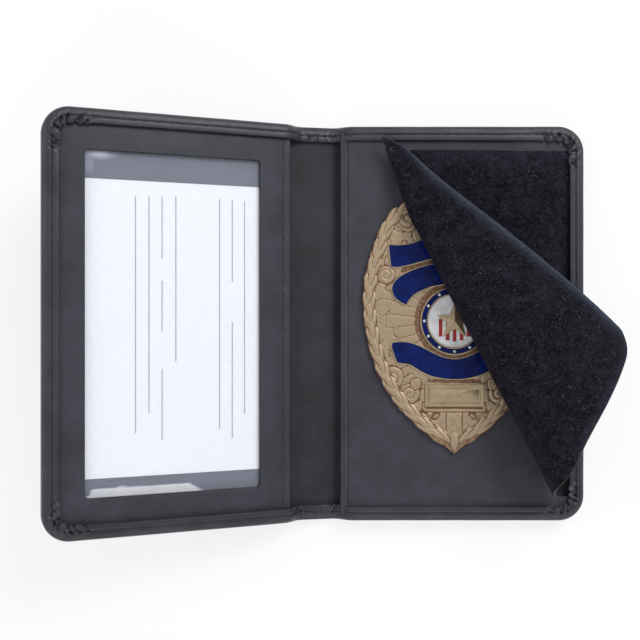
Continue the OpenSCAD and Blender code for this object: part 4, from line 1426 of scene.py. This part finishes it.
flat_lines = [(v, 0.0, 0.0) for v in np.linspace(FLAT_V0 * 0.995, -SEAM_OUT - 0.3, 46)]
flat_lines += [(v, 0.0, 0.0) for v in np.linspace(-SEAM_OUT, 0, 18)]

# %% Lines of the part that lies back
fall_from, fall_to = 7, 21


def back_line(w, share):
    return END_P + w, END_Q, share


seam_lines = flat_lines + roll_lines(0, half_way[0], 25, 1.0)[1:]
turn_lines = roll_lines(*half_way, 25, 1.0)
back_lines = roll_lines(half_way[1], ROLL, 25, 0.9)
back_lines += [back_line(w, 0.9 + 0.1 * w / fall_from) for w in np.linspace(0, fall_from, 9)[1:]]
to_tip = fall_to + (BACK_LEN - fall_to) * 0.998 * np.sin(np.radians(np.linspace(0, 90, 22)[1:]))
tip_steps = [*np.linspace(fall_from, fall_to, 16), *to_tip]
tip_lines = [back_line(w, float(np.clip((w - fall_from) / (fall_to - fall_from), 0, 1))) for w in tip_steps]
print("lines across the suede:", len(seam_lines), len(turn_lines), len(back_lines), len(tip_lines))

# %% The four lengths
suede_length("suede_flap_seam", seam_lines, ("back_leaf", "turn"), ["flap_base"])
suede_length("suede_flap_turn", turn_lines, ("turn", "roll"), ["flap_turn"])
suede_length("suede_flap_roll", back_lines, ("roll", "fall"), ["flap_roll", "flap_fall"])
suede_length("suede_flap_tip", tip_lines, ("fall", "tip"), ["flap_tip"], free_end=True)

# %% [markdown]
# ## Floor, light and camera
# The wallet was shot from straight above on white, under broad soft light. A
# pale floor that is white to the camera but still takes a shadow does that.

# %% Which rays show the white background
def background_share(m, share):
    """The share of plain white for rays from the camera, off metal or through glass."""
    path = node(m, "ShaderNodeLightPath")
    last, out = path, "Is Camera Ray"
    for other in ("Is Glossy Ray", "Is Transmission Ray"):
        either = node(m, "ShaderNodeMath", operation="MAXIMUM")
        wire(m, last, out, either, 0)
        wire(m, path, other, either, 1)
        last, out = either, 0
    some = node(m, "ShaderNodeMath", operation="MULTIPLY")
    some.inputs[1].default_value = share
    wire(m, last, out, some, 0)
    return some


# %% A floor that is white to the camera and still takes a shadow
bpy.data.objects.remove(stitch)
clear()
bpy.ops.mesh.primitive_plane_add(size=6, location=(0, 0, -0.00003))
floor = bpy.context.object
floor.name = "floor"
floor_paint = new_material("floor_paint", (0.86, 0.86, 0.87), 0.9)
white = node(floor_paint, "ShaderNodeEmission", Strength=1.0)
mix = node(floor_paint, "ShaderNodeMixShader")
wire(floor_paint, background_share(floor_paint, 0.76), 0, mix, 0)
wire(floor_paint, shader(floor_paint), 0, mix, 1)
wire(floor_paint, white, 0, mix, 2)
wire(floor_paint, mix, 0, floor_paint.node_tree.nodes["Material Output"], "Surface")
floor.data.materials.append(floor_paint)
floor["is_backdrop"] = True

# %% Soft light from all round, and plain white as the background
world = bpy.data.worlds.new("studio")
bpy.context.scene.world = world
world.use_nodes = True
sky = world.node_tree.nodes["Background"]
sky.inputs["Color"].default_value = (1, 1, 1, 1)
sky.inputs["Strength"].default_value = 0.48
bright = node(world, "ShaderNodeBackground", Color=(1, 1, 1, 1), Strength=1.0)
choose = node(world, "ShaderNodeMixShader")
wire(world, background_share(world, 1.0), 0, choose, 0)
wire(world, sky, 0, choose, 1)
wire(world, bright, 0, choose, 2)
wire(world, choose, 0, world.node_tree.nodes["World Output"], "Surface")
print("light from all round, as the parts see it:", sky.inputs["Strength"].default_value)

# %% Three broad lamps
def lamp(name, place, aim, size, watts):
    data = bpy.data.lights.new(name, "AREA")
    data.shape, data.size, data.size_y, data.energy = "RECTANGLE", size[0], size[1], watts
    obj = bpy.data.objects.new(name, data)
    bpy.context.collection.objects.link(obj)
    obj.location = place
    obj.rotation_euler = (Vector(aim) - Vector(place)).to_track_quat("-Z", "Y").to_euler()


lamp("soft_key", (0.40, 0.55, 0.62), (-0.03, 0, 0), (0.5, 0.4), 6.4)
lamp("soft_left", (-0.65, 0.15, 0.55), (-0.03, 0, 0), (0.35, 0.6), 1.5)
lamp("strip_low", (-0.05, -0.7, 0.45), (-0.03, 0, 0), (0.8, 0.2), 1.9)

# %% Camera straight above, with a short lens as in the photo
camera_data = bpy.data.cameras.new("camera")
camera_data.lens, camera_data.sensor_width, camera_data.clip_start = 52.5, 36, 0.01
camera = bpy.data.objects.new("camera", camera_data)
bpy.context.collection.objects.link(camera)
camera.location = (-0.0386, 0.00097, 0.26)
bpy.context.scene.camera = camera
bpy.context.scene.view_settings.view_transform = "Standard"

# %% [markdown]
# ## Last step
# Every node that still shows has a finish by now. The size of the dressed
# model is printed.

# %% Print the dressed size
low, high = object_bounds()
print("dressed mm:", [[round(1000 * c, 2) for c in b] for b in (low, high)])
